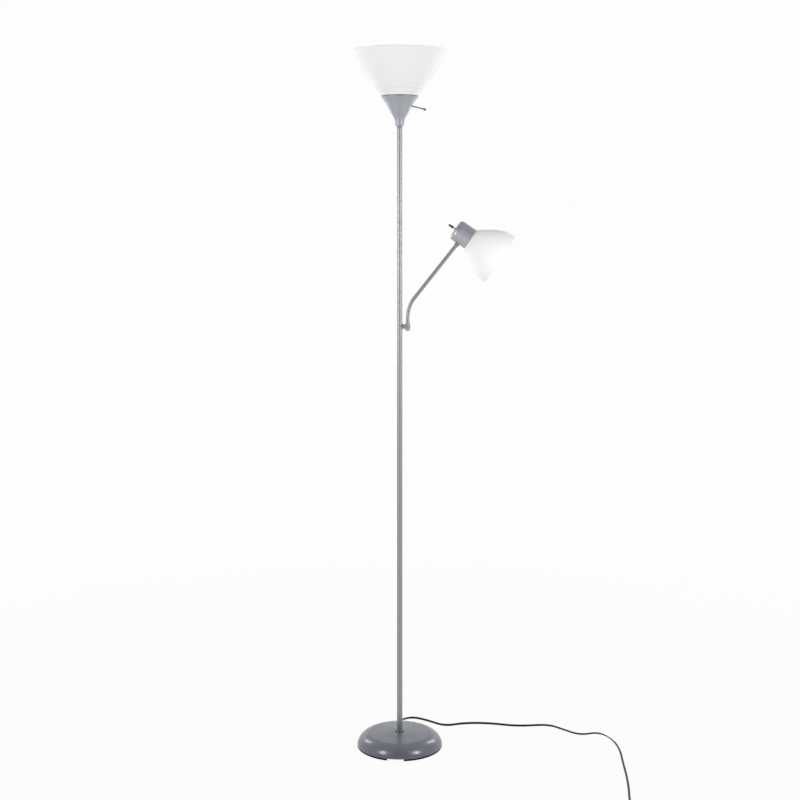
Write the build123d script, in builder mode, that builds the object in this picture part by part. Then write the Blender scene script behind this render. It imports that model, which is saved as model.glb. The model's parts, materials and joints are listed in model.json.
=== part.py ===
# Torchiere floor lamp with a reading light on a side arm.
# Millimetres. The floor is Z = 0, the pole's axis is Z, and the reading arm points to +X.

import os
from math import acos, atan2, cos, hypot, pi, radians, sin, sqrt, tan

from build123d import *

# Base: a pressed steel cover over a cast disc, with two edging strips that stand on the floor
base_r = 110.0
cover_wall = 1.0
cover_top_z = 37.0
cover_hub_r = 20.0
cover_shoulder_r = 77.0
cover_shoulder_z = 34.0
cover_widest_z = 7.0
cover_rim_z = 5.0
cover_slot = (10.2, 12.0, 10.0)
weight_r = 100.0
weight_bevel = 2.0
weight_flank = [(weight_r, 17.0), (90.0, 25.0), (76.0, 30.0), (30.0, 30.0)]
weight_hub_r = 17.0
weight_recess_z = 22.0
cord_channel = 7.0
pad_r = 92.0
pad_t = 2.0
strip_inner_r = 105.0
strip_outer_r = 109.4
strip_leg_r = 107.6
strip_gap = 44.0
strip_turn = -6.0
collar_r = 11.6
collar_h = 3.0
collar_round = 2.0

# Pole: three steel tubes on threaded couplings
pole_r = 7.1
pole_bore_r = 6.2
fit_gap = 0.02
pole_low_z = cover_top_z + collar_h
pole_seams = (698.0, 1360.0)
pole_top_z = 1607.5
coupling_half = 20.0
coupling_bore_r = 4.0
bushing_h = 15.0
nipple_r = 4.98
nipple_hole_r = 5.0
loose_hole_r = 5.2
nipple_bore_r = 3.3
base_nipple_low_z = 14.0
cup_nipple_low_z = 1594.0
cup_nipple_top_t = -35.5
nut_flats = 14.0
nut_h = 5.0
washer_r = 15.0
washer_t = 1.5
wire_r = 2.5
wire_bend_r = 9.0
thin_wire_r = 1.5
wire_hole_r = 1.8

# Side arm: a bent tube that swivels about a short spool on the pole
pivot_z = 1087.5
foot_x = 21.0
foot_r = 5.9
foot_low_z = 1076.5
foot_high_z = 1098.0
foot_chamfer = 1.4
foot_round = 0.8
foot_bore_r = 3.6
spool_back_x = 1.0
spool_edge_x = 8.7
spool_waist = (9.6, 5.65)
spool_split_x = 11.35
spool_split = 0.1
spool_neck_r = 5.3
spool_flange_r = 6.9
neck_waist = (13.2, 5.65)
neck_edges_x = (14.1, 15.2)
neck_root = (17.0, 5.8)
spigot_r = 3.0
running_gap = 0.05
spigot_end_x = 18.5
swivel_ring_x = 17.0
swivel_ring_r = 4.1
swivel_ring_t = 1.4
recess_x = 16.8
recess_r = 4.4
foot_plug_x = 24.6
foot_plug_t = 2.9
foot_plug_round = 0.6
arm_r = 4.75
arm_bore_r = 3.75
arm_low_z = 1092.5
arm_bend_z = 1112.0
arm_bend_r = 80.0
arm_lean = 38.4
arm_reach = 208.3
arm_wire_stop = 21.0
arm_wire_rise = 2.2

# Reading head: a cup whose axis crosses the arm's line just behind its front edge
head_drop = 34.4
head_setback = 18.8
reading_cup_r = 28.5
reading_cup_len = 47.4
reading_back_r = 20.5
cup_wall = 1.0
reading_cup_round = 8.0
ferrule_r = 6.25
ferrule_socket = 4.0
ferrule_round = 0.6
screw_apart = 24.0
screw_r = 1.5
screw_len = 8.0
screw_head_r = 2.7
screw_head_h = 1.7
screw_head_round = 0.8
ferrule_len = 5.5
washer_flat = 30.4
inner_washer_low = 32.0
head_nut_flats = 10.0
head_nut_h = 3.0
head_nut_low = 25.5
head_nipple_top = 21.8

# Torchiere head, measured from the lip of its cup
lip_z = 1687.0
lip_r = 47.5
lip_band = 3.6
trumpet = [(10.7, 1609.3), (13.2, 1624.5), (22.2, 1641.5), (34.0, 1663.6)]

# The shades' outer flanks, (radius, distance from the lip), each from its cup to its rim
torchiere_flank = [(48.4, 0.3), (83.2, 45.5), (110.5, 83.5), (128.3, 115.6)]
reading_flank = [(28.8, 0.3), (47.6, 25.0), (62.3, 50.0), (70.3, 74.0), (71.2, 92.0)]

# Lampholder, the same in both heads, measured along the head from the lip of its cup
holder_r = 19.5
barrel_r = 18.5
seat_t = -14.0
barrel_t = 8.0
cavity_r = 14.2
cavity_t = -17.0
top_neck_t = -35.0
top_holder_t = -44.0
shell_t = 0.7
shell_gap = 0.1
shell_floor_r = 8.0
shell_floor_t = 0.6
shade_wall = 2.0
shade_ring_r = 23.0
shade_ring_h = 7.0
shade_flange_r = 25.2
shade_hole_r = 18.7
grip_r = 1.5
grip_out = 0.6
grip_count = 16
bulb_tip_t = -15.9
bulb_cap_r = 13.0
bulb_neck_r = 13.6
bulb_neck_h = 8.0
bulb_wall = 1.0

# Switches: a rod with a ball at the torchiere, and a stem with a flat key at the reading head
rod_drop = 15.2
rod_r = 1.65
rod_socket_x = 12.0
rod_start_x = 12.5
rod_ball_x = 65.2
rod_ball_z = 1651.6
ball_r = 3.5
bush_r = 4.0
bush_x = 17.0
bush_len = 9.0
stem_r = 2.5
stem_start_t = -36.0
stem_end_t = -57.0
key_end_t = -67.4
key_collar_r = 3.6
key_collar_h = 2.5
key_thick = 5.4
key_wide = 9.5
key_round = 2.2

# Mains cord: a flat pair, drawn here as a round tube of the pair's width
cord_d = 5.6
cord_z = cord_d / 2 + 0.05
exit_z = 5.0
bushing_y = 102.0
bushing_w = 9.6
bushing_d = 8.6
bushing_round = 3.0
bushing_flange_ys = (105.3, 110.2)
bushing_flange_w = 13.0
bushing_flange_h = 10.4
bushing_flange_t = 1.8
bushing_flange_rise = 0.5
bushing_flange_round = 3.5
relief_start_y = 113.0
relief_start_r = 4.4
relief_end_r = 3.4
relief_y = 134.0
cord_route = [
    (0, relief_y, exit_z),
    (0, 149.5, exit_z),
    (-0.8, 166, 3.7),
    (9.8, 182.5, cord_z),
    (26.6, 191.5, cord_z),
    (45.6, 190.2, cord_z),
    (76, 169.5, cord_z),
    (121, 128, cord_z),
    (172, 150, cord_z),
    (240, 150, cord_z),
    (318, 126, cord_z),
    (399, 140, cord_z),
    (433, 108, cord_z),
    (476, 62, cord_z),
    (529, 85, cord_z),
    (559, 34, cord_z),
    (567, -38, cord_z),
    (561, -118, cord_z),
    (557, -200, cord_z),
    (550, -276, cord_z),
    (541, -340, cord_z),
]

# Put-away coil: it winds in on the floor, climbs one layer and winds out again
coil_x = 503.0
coil_y = -430.0
coil_mid_r = 25.4
coil_pitch = 6.3
coil_half_turns = 1.625
coil_layer = 6.1
coil_z = cord_z + 0.6
coil_entry_y = -384.0
coil_steps = 13

# From the coil to the plug: each point by its distance back from the coil's middle, how far it
# stands in from the outer turn, and how high it lies
plug_lie = 7.05
cord_tail = [
    (cord_d, 0, coil_z + coil_layer),
    (25.0, 0, coil_z + coil_layer),
    (48.0, 1.5, plug_lie),
    (70.0, 5.5, plug_lie),
]

# Wire tie round the coil
tie_turns = 1.125
tie_w = 5.0
tie_t = 0.5
tie_round = 2.9
tie_low_z = 0.6

# Plug
plug_h = 14.0
plug_w = 22.0
plug_len = 23.0
plug_relief_len = 14.0
plug_relief_r = 3.3
plug_neck = (10.0, 8.0, 3.0)
plug_round = 4.5
plug_end_round = 1.2
blade_len = 17.5
blade_w = 6.3
blade_t = 1.5
blade_apart = 12.7
blade_bevel = 0.5

os.makedirs("parts", exist_ok=True)


def save(piece, name):
    """Label a finished piece and write it to its own file."""
    piece.part.label = name
    export_step(piece.part, f"parts/{name}.step")


def along(plane):
    """The axis of a head: its plane's Y line."""
    return Axis(plane.origin, plane.y_dir)


def tube(plane, outer_r, inner_r, length):
    """A round tube that stands on a plane."""
    with BuildPart() as piece:
        with BuildSketch(plane):
            Circle(outer_r)
            Circle(inner_r, mode=Mode.SUBTRACT)
        extrude(amount=length)
    return piece


def hex_nut(plane, flats, bore_r, height):
    """A plain six-sided nut that stands on a plane."""
    with BuildPart() as piece:
        with BuildSketch(plane):
            RegularPolygon(flats / 2, 6, major_radius=False)
            Circle(bore_r, mode=Mode.SUBTRACT)
        extrude(amount=height)
    return piece


def turned(plane, points):
    """A solid turned about a head's axis from (radius, distance) points."""
    with BuildPart() as piece:
        with BuildSketch(plane):
            with BuildLine():
                Polyline(*points, close=True)
            make_face()
        revolve(axis=along(plane))
    return piece


def wall_inside(outline, wall, stations):
    """The inner line of a thin wall, from places along its outer line."""
    return Spline(*[outline @ t + (outline % t).rotate(Axis.Z, 90) * wall for t in stations])


def round_tube_along(path, radius):
    """A solid round bar swept along a path."""
    with BuildPart() as piece:
        with BuildSketch(Plane(origin=path @ 0, z_dir=path % 0)):
            Circle(radius)
        sweep(path=path)
    return piece


# Where the two heads stand: X is the radius, Y runs out of the head's mouth
top_plane = Plane(origin=(0, 0, lip_z), x_dir=(1, 0, 0), z_dir=(0, -1, 0))
arm_dir = Vector(sin(radians(arm_lean)), 0, cos(radians(arm_lean)))
bend_end = Vector(
    foot_x + arm_bend_r * (1 - cos(radians(arm_lean))),
    0,
    arm_bend_z + arm_bend_r * sin(radians(arm_lean)),
)
head_pivot = bend_end + arm_dir * arm_reach
head_dir = Vector(cos(radians(head_drop)), 0, -sin(radians(head_drop)))
head_across = Vector(sin(radians(head_drop)), 0, cos(radians(head_drop)))
reading_plane = Plane(
    origin=head_pivot + head_dir * head_setback, x_dir=head_across, z_dir=(0, 1, 0)
)


def on_arm_line(distance):
    """The plane square to the arm's line, at a distance down from the head's axis."""
    return Plane(origin=head_pivot - arm_dir * distance, z_dir=arm_dir)


def on_head(t):
    """The plane square to the reading head's axis, at a distance out from its cup's lip."""
    return Plane(reading_plane.origin + head_dir * t, x_dir=head_across, z_dir=head_dir)


# ---- base

with BuildPart() as base_cover:
    with BuildSketch(Plane.XZ):
        with BuildLine():
            hub = Line((loose_hole_r, cover_top_z), (cover_hub_r, cover_top_z))
            crown = Line(hub @ 1, (cover_shoulder_r, cover_shoulder_z))
            shoulder = TangentArc(crown @ 1, (base_r, cover_widest_z), tangent=crown % 1)
            Line(shoulder @ 1, (base_r - 0.2, cover_rim_z))
            offset(amount=cover_wall, side=Side.RIGHT)
        make_face()
    revolve(axis=Axis.Z)
    with Locations((0, base_r, cover_rim_z)):
        Box(*cover_slot, mode=Mode.SUBTRACT)
save(base_cover, "base_cover")

with BuildPart() as base_weight:
    with BuildSketch(Plane.XZ):
        with BuildLine():
            Polyline(
                (loose_hole_r, weight_recess_z),
                (weight_hub_r, weight_recess_z),
                (weight_hub_r, pad_t),
                (weight_r - weight_bevel, pad_t),
                (weight_r, pad_t + weight_bevel),
                *weight_flank,
                (weight_hub_r, cover_top_z - cover_wall),
                (loose_hole_r, cover_top_z - cover_wall),
                close=True,
            )
        make_face()
    revolve(axis=Axis.Z)
    with BuildSketch(Plane.XY.offset(pad_t)):
        with Locations((0, weight_r / 2)):
            Rectangle(cord_channel, weight_r + 10)
    extrude(amount=cord_channel, mode=Mode.SUBTRACT)
save(base_weight, "base_weight")

with BuildPart() as base_bottom_pad:
    with BuildSketch(Plane.XY):
        Circle(pad_r)
    extrude(amount=pad_t)
save(base_bottom_pad, "base_bottom_pad")

with BuildPart() as base_edge_strip:
    with BuildSketch(Plane.XZ):
        with BuildLine():
            Polyline(
                (strip_inner_r, 0),
                (strip_outer_r, 0),
                (strip_outer_r + 0.4, cover_rim_z),
                (strip_leg_r, cover_rim_z),
                (strip_leg_r, 2 * cover_rim_z),
                (strip_inner_r, 2 * cover_rim_z),
                close=True,
            )
        make_face()
    revolve(axis=Axis.Z)
    with Locations(Rotation(0, 0, strip_turn)):
        Box(strip_gap, 3 * base_r, 4 * cover_rim_z, mode=Mode.SUBTRACT)
save(base_edge_strip, "base_edge_strip")

with BuildPart() as base_collar:
    with BuildSketch(Plane.XY.offset(cover_top_z)):
        Circle(collar_r)
        Circle(loose_hole_r, mode=Mode.SUBTRACT)
    extrude(amount=collar_h)
    rim = base_collar.edges().filter_by(GeomType.CIRCLE).group_by(Axis.Z)[-1]
    fillet(rim.sort_by(SortBy.RADIUS)[-1], collar_round)
save(base_collar, "base_collar")

nut_top_z = weight_recess_z - washer_t
base_nipple_len = pole_low_z + bushing_h - base_nipple_low_z
base_nipple = tube(
    Plane.XY.offset(base_nipple_low_z), nipple_r, nipple_bore_r, base_nipple_len
)
save(base_nipple, "base_nipple")
base_washer = tube(Plane.XY.offset(nut_top_z), washer_r, nipple_hole_r, washer_t)
save(base_washer, "base_washer")
base_nut = hex_nut(Plane.XY.offset(nut_top_z - nut_h), nut_flats, nipple_hole_r, nut_h)
save(base_nut, "base_nut")

with BuildPart() as cord_bushing:
    with BuildSketch(Plane.XZ.offset(-bushing_y)):
        with Locations((0, exit_z)):
            RectangleRounded(bushing_w, bushing_d, bushing_round)
    extrude(amount=bushing_y - relief_start_y)
    for flange_y in bushing_flange_ys:
        with BuildSketch(Plane.XZ.offset(-flange_y)):
            with Locations((0, exit_z + bushing_flange_rise)):
                RectangleRounded(bushing_flange_w, bushing_flange_h, bushing_flange_round)
        extrude(amount=-bushing_flange_t)
    with BuildSketch(Plane.XZ.offset(-relief_start_y)):
        with Locations((0, exit_z)):
            Circle(relief_start_r)
    with BuildSketch(Plane.XZ.offset(-relief_y)):
        with Locations((0, exit_z)):
            Circle(relief_end_r)
    loft()
save(cord_bushing, "cord_bushing")

# ---- pole

pole_bushing_r = pole_bore_r - fit_gap
pole_bottom_bushing = tube(
    Plane.XY.offset(pole_low_z), pole_bushing_r, nipple_hole_r, bushing_h
)
save(pole_bottom_bushing, "pole_bottom_bushing")

pole_lower_tube = tube(
    Plane.XY.offset(pole_low_z), pole_r, pole_bore_r, pole_seams[0] - pole_low_z
)
save(pole_lower_tube, "pole_lower_tube")

with BuildPart() as pole_middle_tube:
    with BuildSketch(Plane.XY.offset(pole_seams[0])):
        Circle(pole_r)
        Circle(pole_bore_r, mode=Mode.SUBTRACT)
    extrude(amount=pole_seams[1] - pole_seams[0])
    with BuildSketch(Plane.YZ):
        with Locations((0, pivot_z)):
            Circle(wire_hole_r)
    extrude(amount=2 * pole_r, mode=Mode.SUBTRACT)
save(pole_middle_tube, "pole_middle_tube")

pole_upper_tube = tube(
    Plane.XY.offset(pole_seams[1]), pole_r, pole_bore_r, pole_top_z - pole_seams[1]
)
save(pole_upper_tube, "pole_upper_tube")

for name, seam_z in zip(("pole_lower_coupling", "pole_upper_coupling"), pole_seams):
    coupling = tube(
        Plane.XY.offset(seam_z - coupling_half),
        pole_bushing_r,
        coupling_bore_r,
        2 * coupling_half,
    )
    save(coupling, name)

pole_top_bushing = tube(
    Plane.XY.offset(pole_top_z - bushing_h), pole_bushing_r, nipple_hole_r, bushing_h
)
save(pole_top_bushing, "pole_top_bushing")

# The inner cord comes in through the base, turns up through the nipple and climbs to the top
with BuildLine(Plane.YZ) as wire_path:
    level = Line((bushing_y, exit_z), (wire_bend_r, exit_z))
    turn = TangentArc(level @ 1, (0, exit_z + wire_bend_r), tangent=level % 1)
    Line(turn @ 1, (0, lip_z + cavity_t - 1.5))
pole_wire = round_tube_along(wire_path.wire(), wire_r)
save(pole_wire, "pole_wire")

# ---- side arm

with BuildPart() as arm_bracket:
    with BuildSketch(Plane.XZ):
        with BuildLine():
            flange = Line((spool_back_x, pivot_z), (spool_back_x, pivot_z + spool_flange_r))
            edge = Line(flange @ 1, (spool_edge_x, pivot_z + spool_flange_r))
            waist = ThreePointArc(
                edge @ 1,
                (spool_waist[0], pivot_z + spool_waist[1]),
                (spool_split_x, pivot_z + spool_neck_r),
            )
            Polyline(
                waist @ 1,
                (spool_split_x, pivot_z + spigot_r),
                (spigot_end_x, pivot_z + spigot_r),
                (spigot_end_x, pivot_z),
                (spool_back_x, pivot_z),
            )
        make_face()
    revolve(axis=Axis((0, 0, pivot_z), (1, 0, 0)))
    with Locations((0, 0, pivot_z)):
        Cylinder(pole_r, 3 * foot_x, mode=Mode.SUBTRACT)
    with BuildSketch(Plane.YZ):
        with Locations((0, pivot_z)):
            Circle(wire_hole_r)
    extrude(amount=spigot_end_x, mode=Mode.SUBTRACT)
save(arm_bracket, "arm_bracket")

swivel_ring = tube(
    Plane((swivel_ring_x, 0, pivot_z), z_dir=(1, 0, 0)), swivel_ring_r, spigot_r, swivel_ring_t
)
save(swivel_ring, "swivel_ring")

with BuildPart() as branch_wire:
    with BuildSketch(Plane((wire_r + 0.3, 0, pivot_z), z_dir=(1, 0, 0))):
        Circle(thin_wire_r)
    extrude(amount=spigot_end_x - wire_r - 0.4)
save(branch_wire, "branch_wire")

with BuildPart() as arm_foot:
    with BuildSketch(Plane.XY.offset(foot_low_z)):
        with Locations((foot_x, 0)):
            Circle(foot_r)
    extrude(amount=foot_high_z - foot_low_z)
    chamfer(arm_foot.edges().group_by(Axis.Z)[0], foot_chamfer)
    fillet(arm_foot.edges().group_by(Axis.Z)[-1], foot_round)
    with BuildSketch(Plane.XZ):
        with BuildLine():
            neck_x = spool_split_x + spool_split
            neck = Line((neck_x, pivot_z), (neck_x, pivot_z + spool_neck_r))
            waist = ThreePointArc(
                neck @ 1,
                (neck_waist[0], pivot_z + neck_waist[1]),
                (neck_edges_x[0], pivot_z + spool_flange_r),
            )
            Polyline(
                waist @ 1,
                (neck_edges_x[1], pivot_z + spool_flange_r),
                (neck_root[0], pivot_z + neck_root[1]),
                (foot_x, pivot_z + neck_root[1]),
                (foot_x, pivot_z),
                (neck_x, pivot_z),
            )
        make_face()
    revolve(axis=Axis((0, 0, pivot_z), (1, 0, 0)))
    with BuildSketch(Plane((spool_split_x, 0, pivot_z), z_dir=(1, 0, 0))):
        Circle(spigot_r + running_gap)
    extrude(amount=spigot_end_x - spool_split_x, mode=Mode.SUBTRACT)
    with BuildSketch(Plane((recess_x, 0, pivot_z), z_dir=(1, 0, 0))):
        Circle(recess_r)
    extrude(amount=foot_x, mode=Mode.SUBTRACT)
    with BuildSketch(Plane.XY.offset(arm_low_z)):
        with Locations((foot_x, 0)):
            Circle(arm_r)
    extrude(amount=foot_high_z - arm_low_z, mode=Mode.SUBTRACT)
    with BuildSketch(Plane.XY.offset(pivot_z)):
        with Locations((foot_x, 0)):
            Circle(foot_bore_r)
    extrude(amount=arm_low_z - pivot_z, mode=Mode.SUBTRACT)
save(arm_foot, "arm_foot")

with BuildPart() as arm_foot_plug:
    with BuildSketch(Plane((foot_plug_x, 0, pivot_z), z_dir=(1, 0, 0))):
        Circle(recess_r - running_gap)
    extrude(amount=foot_plug_t)
    fillet(arm_foot_plug.edges().group_by(Axis.X)[-1], foot_plug_round)
save(arm_foot_plug, "arm_foot_plug")

ferrule_top = washer_flat + 0.1
ferrule_low = ferrule_top + ferrule_len
with BuildLine(Plane.XZ) as arm_path:
    rise = Line((foot_x, arm_low_z), (foot_x, arm_bend_z))
    bend = JernArc(rise @ 1, rise % 1, arm_bend_r, -arm_lean)
    Line(bend @ 1, bend @ 1 + arm_dir * (arm_reach - ferrule_low + ferrule_socket))
with BuildPart() as arm_tube:
    with BuildSketch(Plane.XY.offset(arm_low_z)):
        with Locations((foot_x, 0)):
            Circle(arm_r)
            Circle(arm_bore_r, mode=Mode.SUBTRACT)
    sweep(path=arm_path.wire())
save(arm_tube, "arm_tube")

with BuildLine(Plane.XZ) as arm_wire_path:
    start = Line((spigot_end_x + 0.2, pivot_z), (spigot_end_x + 0.3, pivot_z))
    corner = TangentArc(start @ 1, (foot_x, pivot_z + arm_wire_rise), tangent=start % 1)
    rise = Line(corner @ 1, (foot_x, arm_bend_z))
    bend = JernArc(rise @ 1, rise % 1, arm_bend_r, -arm_lean)
    Line(bend @ 1, bend @ 1 + arm_dir * (arm_reach - arm_wire_stop))
arm_wire = round_tube_along(arm_wire_path.wire(), thin_wire_r)
save(arm_wire, "arm_wire")

with BuildPart() as arm_ferrule:
    with BuildSketch(on_arm_line(ferrule_low)):
        Circle(ferrule_r)
        Circle(spigot_r, mode=Mode.SUBTRACT)
    extrude(amount=ferrule_len)
    with BuildSketch(on_arm_line(ferrule_low)):
        Circle(arm_r)
    extrude(amount=ferrule_socket, mode=Mode.SUBTRACT)
    fillet(arm_ferrule.edges().group_by(Axis(head_pivot, arm_dir))[0][0], ferrule_round)
save(arm_ferrule, "arm_ferrule")

head_nipple_low = ferrule_low - ferrule_socket - 0.1
head_nipple = tube(
    on_arm_line(head_nipple_low), spigot_r, wire_hole_r, head_nipple_low - head_nipple_top
)
save(head_nipple, "head_nipple")
head_nut = hex_nut(on_arm_line(head_nut_low), head_nut_flats, spigot_r, head_nut_h)
save(head_nut, "head_nut")

with BuildPart() as head_outer_washer:
    with BuildSketch(on_arm_line(washer_flat)):
        Circle(ferrule_r)
        Circle(spigot_r + running_gap, mode=Mode.SUBTRACT)
    extrude(amount=ferrule_r)
    with BuildSketch(on_head(-reading_cup_len)):
        Circle(reading_cup_r)
    extrude(amount=reading_cup_len, mode=Mode.SUBTRACT)
save(head_outer_washer, "head_outer_washer")

with BuildPart() as head_inner_washer:
    with BuildSketch(on_head(-reading_cup_len)):
        Circle(reading_cup_r - cup_wall)
    extrude(amount=reading_cup_len)
    with BuildSketch(on_arm_line(inner_washer_low)):
        Circle(ferrule_r)
        Circle(spigot_r + running_gap, mode=Mode.SUBTRACT)
    extrude(amount=inner_washer_low - head_nut_low - 0.1, mode=Mode.INTERSECT)
save(head_inner_washer, "head_inner_washer")

# ---- reading cup

with BuildPart() as reading_cup:
    with BuildSketch(reading_plane):
        with BuildLine():
            back = Line((stem_r + 0.2, -reading_cup_len), (reading_back_r, -reading_cup_len))
            corner = TangentArc(
                back @ 1,
                (reading_cup_r, reading_cup_round - reading_cup_len),
                tangent=back % 1,
            )
            Line(corner @ 1, (reading_cup_r, 0))
            offset(amount=cup_wall, side=Side.LEFT)
        make_face()
    revolve(axis=along(reading_plane))
    with BuildSketch(on_arm_line(ferrule_low)):
        Circle(spigot_r + running_gap)
    extrude(amount=ferrule_low - head_nut_low, mode=Mode.SUBTRACT)
    with BuildSketch(on_head(-reading_cup_len)):
        with Locations((0, -screw_apart / 2), (0, screw_apart / 2)):
            Circle(screw_r)
    extrude(amount=cup_wall, mode=Mode.SUBTRACT)
save(reading_cup, "reading_cup")

with BuildPart() as reading_holder_screws:
    with BuildSketch(on_head(-reading_cup_len - screw_head_h)):
        with Locations((0, -screw_apart / 2), (0, screw_apart / 2)):
            Circle(screw_head_r)
    extrude(amount=screw_head_h)
    head_rims = reading_holder_screws.edges().group_by(Axis(head_pivot, head_dir))[0]
    fillet(head_rims, screw_head_round)
    with BuildSketch(on_head(-reading_cup_len)):
        with Locations((0, -screw_apart / 2), (0, screw_apart / 2)):
            Circle(screw_r)
    extrude(amount=screw_len)
save(reading_holder_screws, "reading_holder_screws")

# ---- lampholders, rings and bulbs, the same at both heads but for the holder's back


def holder_shell(plane):
    """The brass screw shell that lines a holder's cavity."""
    outer, top = cavity_r - shell_gap, barrel_t - 1
    inner = outer - shell_t
    return turned(
        plane,
        [
            (shell_floor_r, cavity_t),
            (outer, cavity_t),
            (outer, top),
            (inner, top),
            (inner, cavity_t + shell_floor_t),
            (shell_floor_r, cavity_t + shell_floor_t),
        ],
    )


def holder_contact(plane):
    """The centre contact that a bulb's tip presses on."""
    return turned(
        plane,
        [(0, cavity_t), (5, cavity_t), (5, cavity_t + 0.5), (3, bulb_tip_t), (0, bulb_tip_t)],
    )


def shade_ring(plane):
    """The threaded ring that clamps a shade's foot, with finger grips round it."""
    foot = seat_t + shade_wall
    with BuildPart() as piece:
        with BuildSketch(Plane(plane.origin + plane.y_dir * foot, z_dir=plane.y_dir)):
            Circle(shade_ring_r)
            Circle(barrel_r, mode=Mode.SUBTRACT)
            with PolarLocations(shade_ring_r + grip_out, grip_count):
                Circle(grip_r, mode=Mode.SUBTRACT)
        extrude(amount=shade_ring_h)
    return piece


def bulb_base(plane):
    """A bulb's screw base: contact tip, insulator and threaded cap."""
    return turned(
        plane,
        [
            (0, bulb_tip_t),
            (4, bulb_tip_t),
            (4.6, bulb_tip_t + 1),
            (9, bulb_tip_t + 3),
            (bulb_cap_r, bulb_tip_t + 6),
            (bulb_cap_r, barrel_t),
            (0, barrel_t),
        ],
    )


def bulb_outline(neck_r, globe_r, globe_t):
    """Half the outline of a bulb's glass: a neck, a straight flank and a round top."""
    neck_t = barrel_t + bulb_neck_h
    reach = hypot(neck_r, globe_t - neck_t)
    tangent_angle = atan2(neck_t - globe_t, neck_r) + acos(globe_r / reach)
    touch = (globe_r * cos(tangent_angle), globe_t + globe_r * sin(tangent_angle))
    middle_angle = (tangent_angle + pi / 2) / 2
    middle = (globe_r * cos(middle_angle), globe_t + globe_r * sin(middle_angle))
    neck = Line((neck_r - 0.4, barrel_t), (neck_r, neck_t))
    flank = Line(neck @ 1, touch)
    dome = ThreePointArc(flank @ 1, middle, (0, globe_t + globe_r))
    return neck @ 0, dome @ 1


def bulb_glass(plane, globe_r, overall):
    """A bulb's hollow glass."""
    globe_t = bulb_tip_t + overall - globe_r
    with BuildPart() as piece:
        with BuildSketch(plane):
            with BuildLine():
                outer_foot, outer_top = bulb_outline(bulb_neck_r, globe_r, globe_t)
                inner_foot, inner_top = bulb_outline(
                    bulb_neck_r - bulb_wall, globe_r - bulb_wall, globe_t
                )
                Line(outer_foot, inner_foot)
                Line(outer_top, inner_top)
            make_face()
        revolve(axis=along(plane))
    return piece


def holder_body(plane, back):
    """A lampholder's body. back is its outline behind the shade's seat, from rim to bore."""
    front = [(barrel_r, seat_t), (barrel_r, barrel_t), (cavity_r, barrel_t), (cavity_r, cavity_t)]
    return turned(plane, front + back)


top_back = [
    (nipple_bore_r, cavity_t),
    (nipple_bore_r, top_neck_t),
    (nipple_hole_r, top_neck_t),
    (nipple_hole_r, top_holder_t),
    (holder_r / 2, top_holder_t),
    (holder_r, top_neck_t),
    (holder_r, seat_t),
]
reading_back = [
    (0, cavity_t),
    (0, stem_start_t),
    (stem_r + running_gap, stem_start_t),
    (stem_r + running_gap, cup_wall - reading_cup_len),
    (holder_r, cup_wall - reading_cup_len),
    (holder_r, seat_t),
]
heads = (
    ("top", top_plane, 30.0, 108.0),
    ("reading", reading_plane, 24.0, 89.0),
)
for name, plane, globe_r, bulb_len in heads:
    save(holder_shell(plane), f"{name}_holder_shell")
    save(holder_contact(plane), f"{name}_holder_contact")
    save(shade_ring(plane), f"{name}_shade_ring")
    save(bulb_base(plane), f"{name}_bulb_base")
    save(bulb_glass(plane, globe_r, bulb_len), f"{name}_bulb_glass")

reading_blank = holder_body(reading_plane, reading_back)
with BuildPart() as reading_holder_body:
    add(reading_blank.part)
    with BuildSketch(on_head(-reading_cup_len)):
        with Locations((0, -screw_apart / 2), (0, screw_apart / 2)):
            Circle(screw_r)
    extrude(amount=screw_len, mode=Mode.SUBTRACT)
save(reading_holder_body, "reading_holder_body")

# ---- shades


def shade(plane, inner_lip_r, flank):
    """A shade: a flange under the ring, a foot inside the cup, a flank and a round rim."""
    with BuildPart() as piece:
        with BuildSketch(plane):
            with BuildLine():
                outer = Spline(*flank)
                inner = wall_inside(outer, shade_wall, [0.06, 0.3, 0.55, 0.8, 1.0])
                TangentArc(outer @ 1, inner @ 1, tangent=outer % 1)
                Polyline(
                    inner @ 0,
                    (inner_lip_r - shade_wall, 2.0),
                    (inner_lip_r - shade_wall, -0.2),
                    (shade_flange_r - 0.7, seat_t + shade_wall),
                    (shade_hole_r, seat_t + shade_wall),
                    (shade_hole_r, seat_t),
                    (shade_flange_r, seat_t),
                    (inner_lip_r, -1.2),
                    (inner_lip_r, 0.3),
                    outer @ 0,
                )
            make_face()
        revolve(axis=along(plane))
    return piece


torchiere_shade = shade(top_plane, lip_r - cup_wall - 0.4, torchiere_flank)
save(torchiere_shade, "torchiere_shade")
reading_shade = shade(reading_plane, reading_cup_r - cup_wall - 0.4, reading_flank)
save(reading_shade, "reading_shade")

# ---- torchiere cup: a trumpet from the pole to its lip, with a hole for the switch rod

rod_dir = Vector(cos(radians(rod_drop)), 0, -sin(radians(rod_drop)))
ball_centre = Vector(rod_ball_x, 0, rod_ball_z)


def on_rod(x):
    """The plane square to the switch rod where it passes a distance from the pole's axis."""
    return Plane(ball_centre - rod_dir * ((rod_ball_x - x) / rod_dir.X), z_dir=rod_dir)


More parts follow.
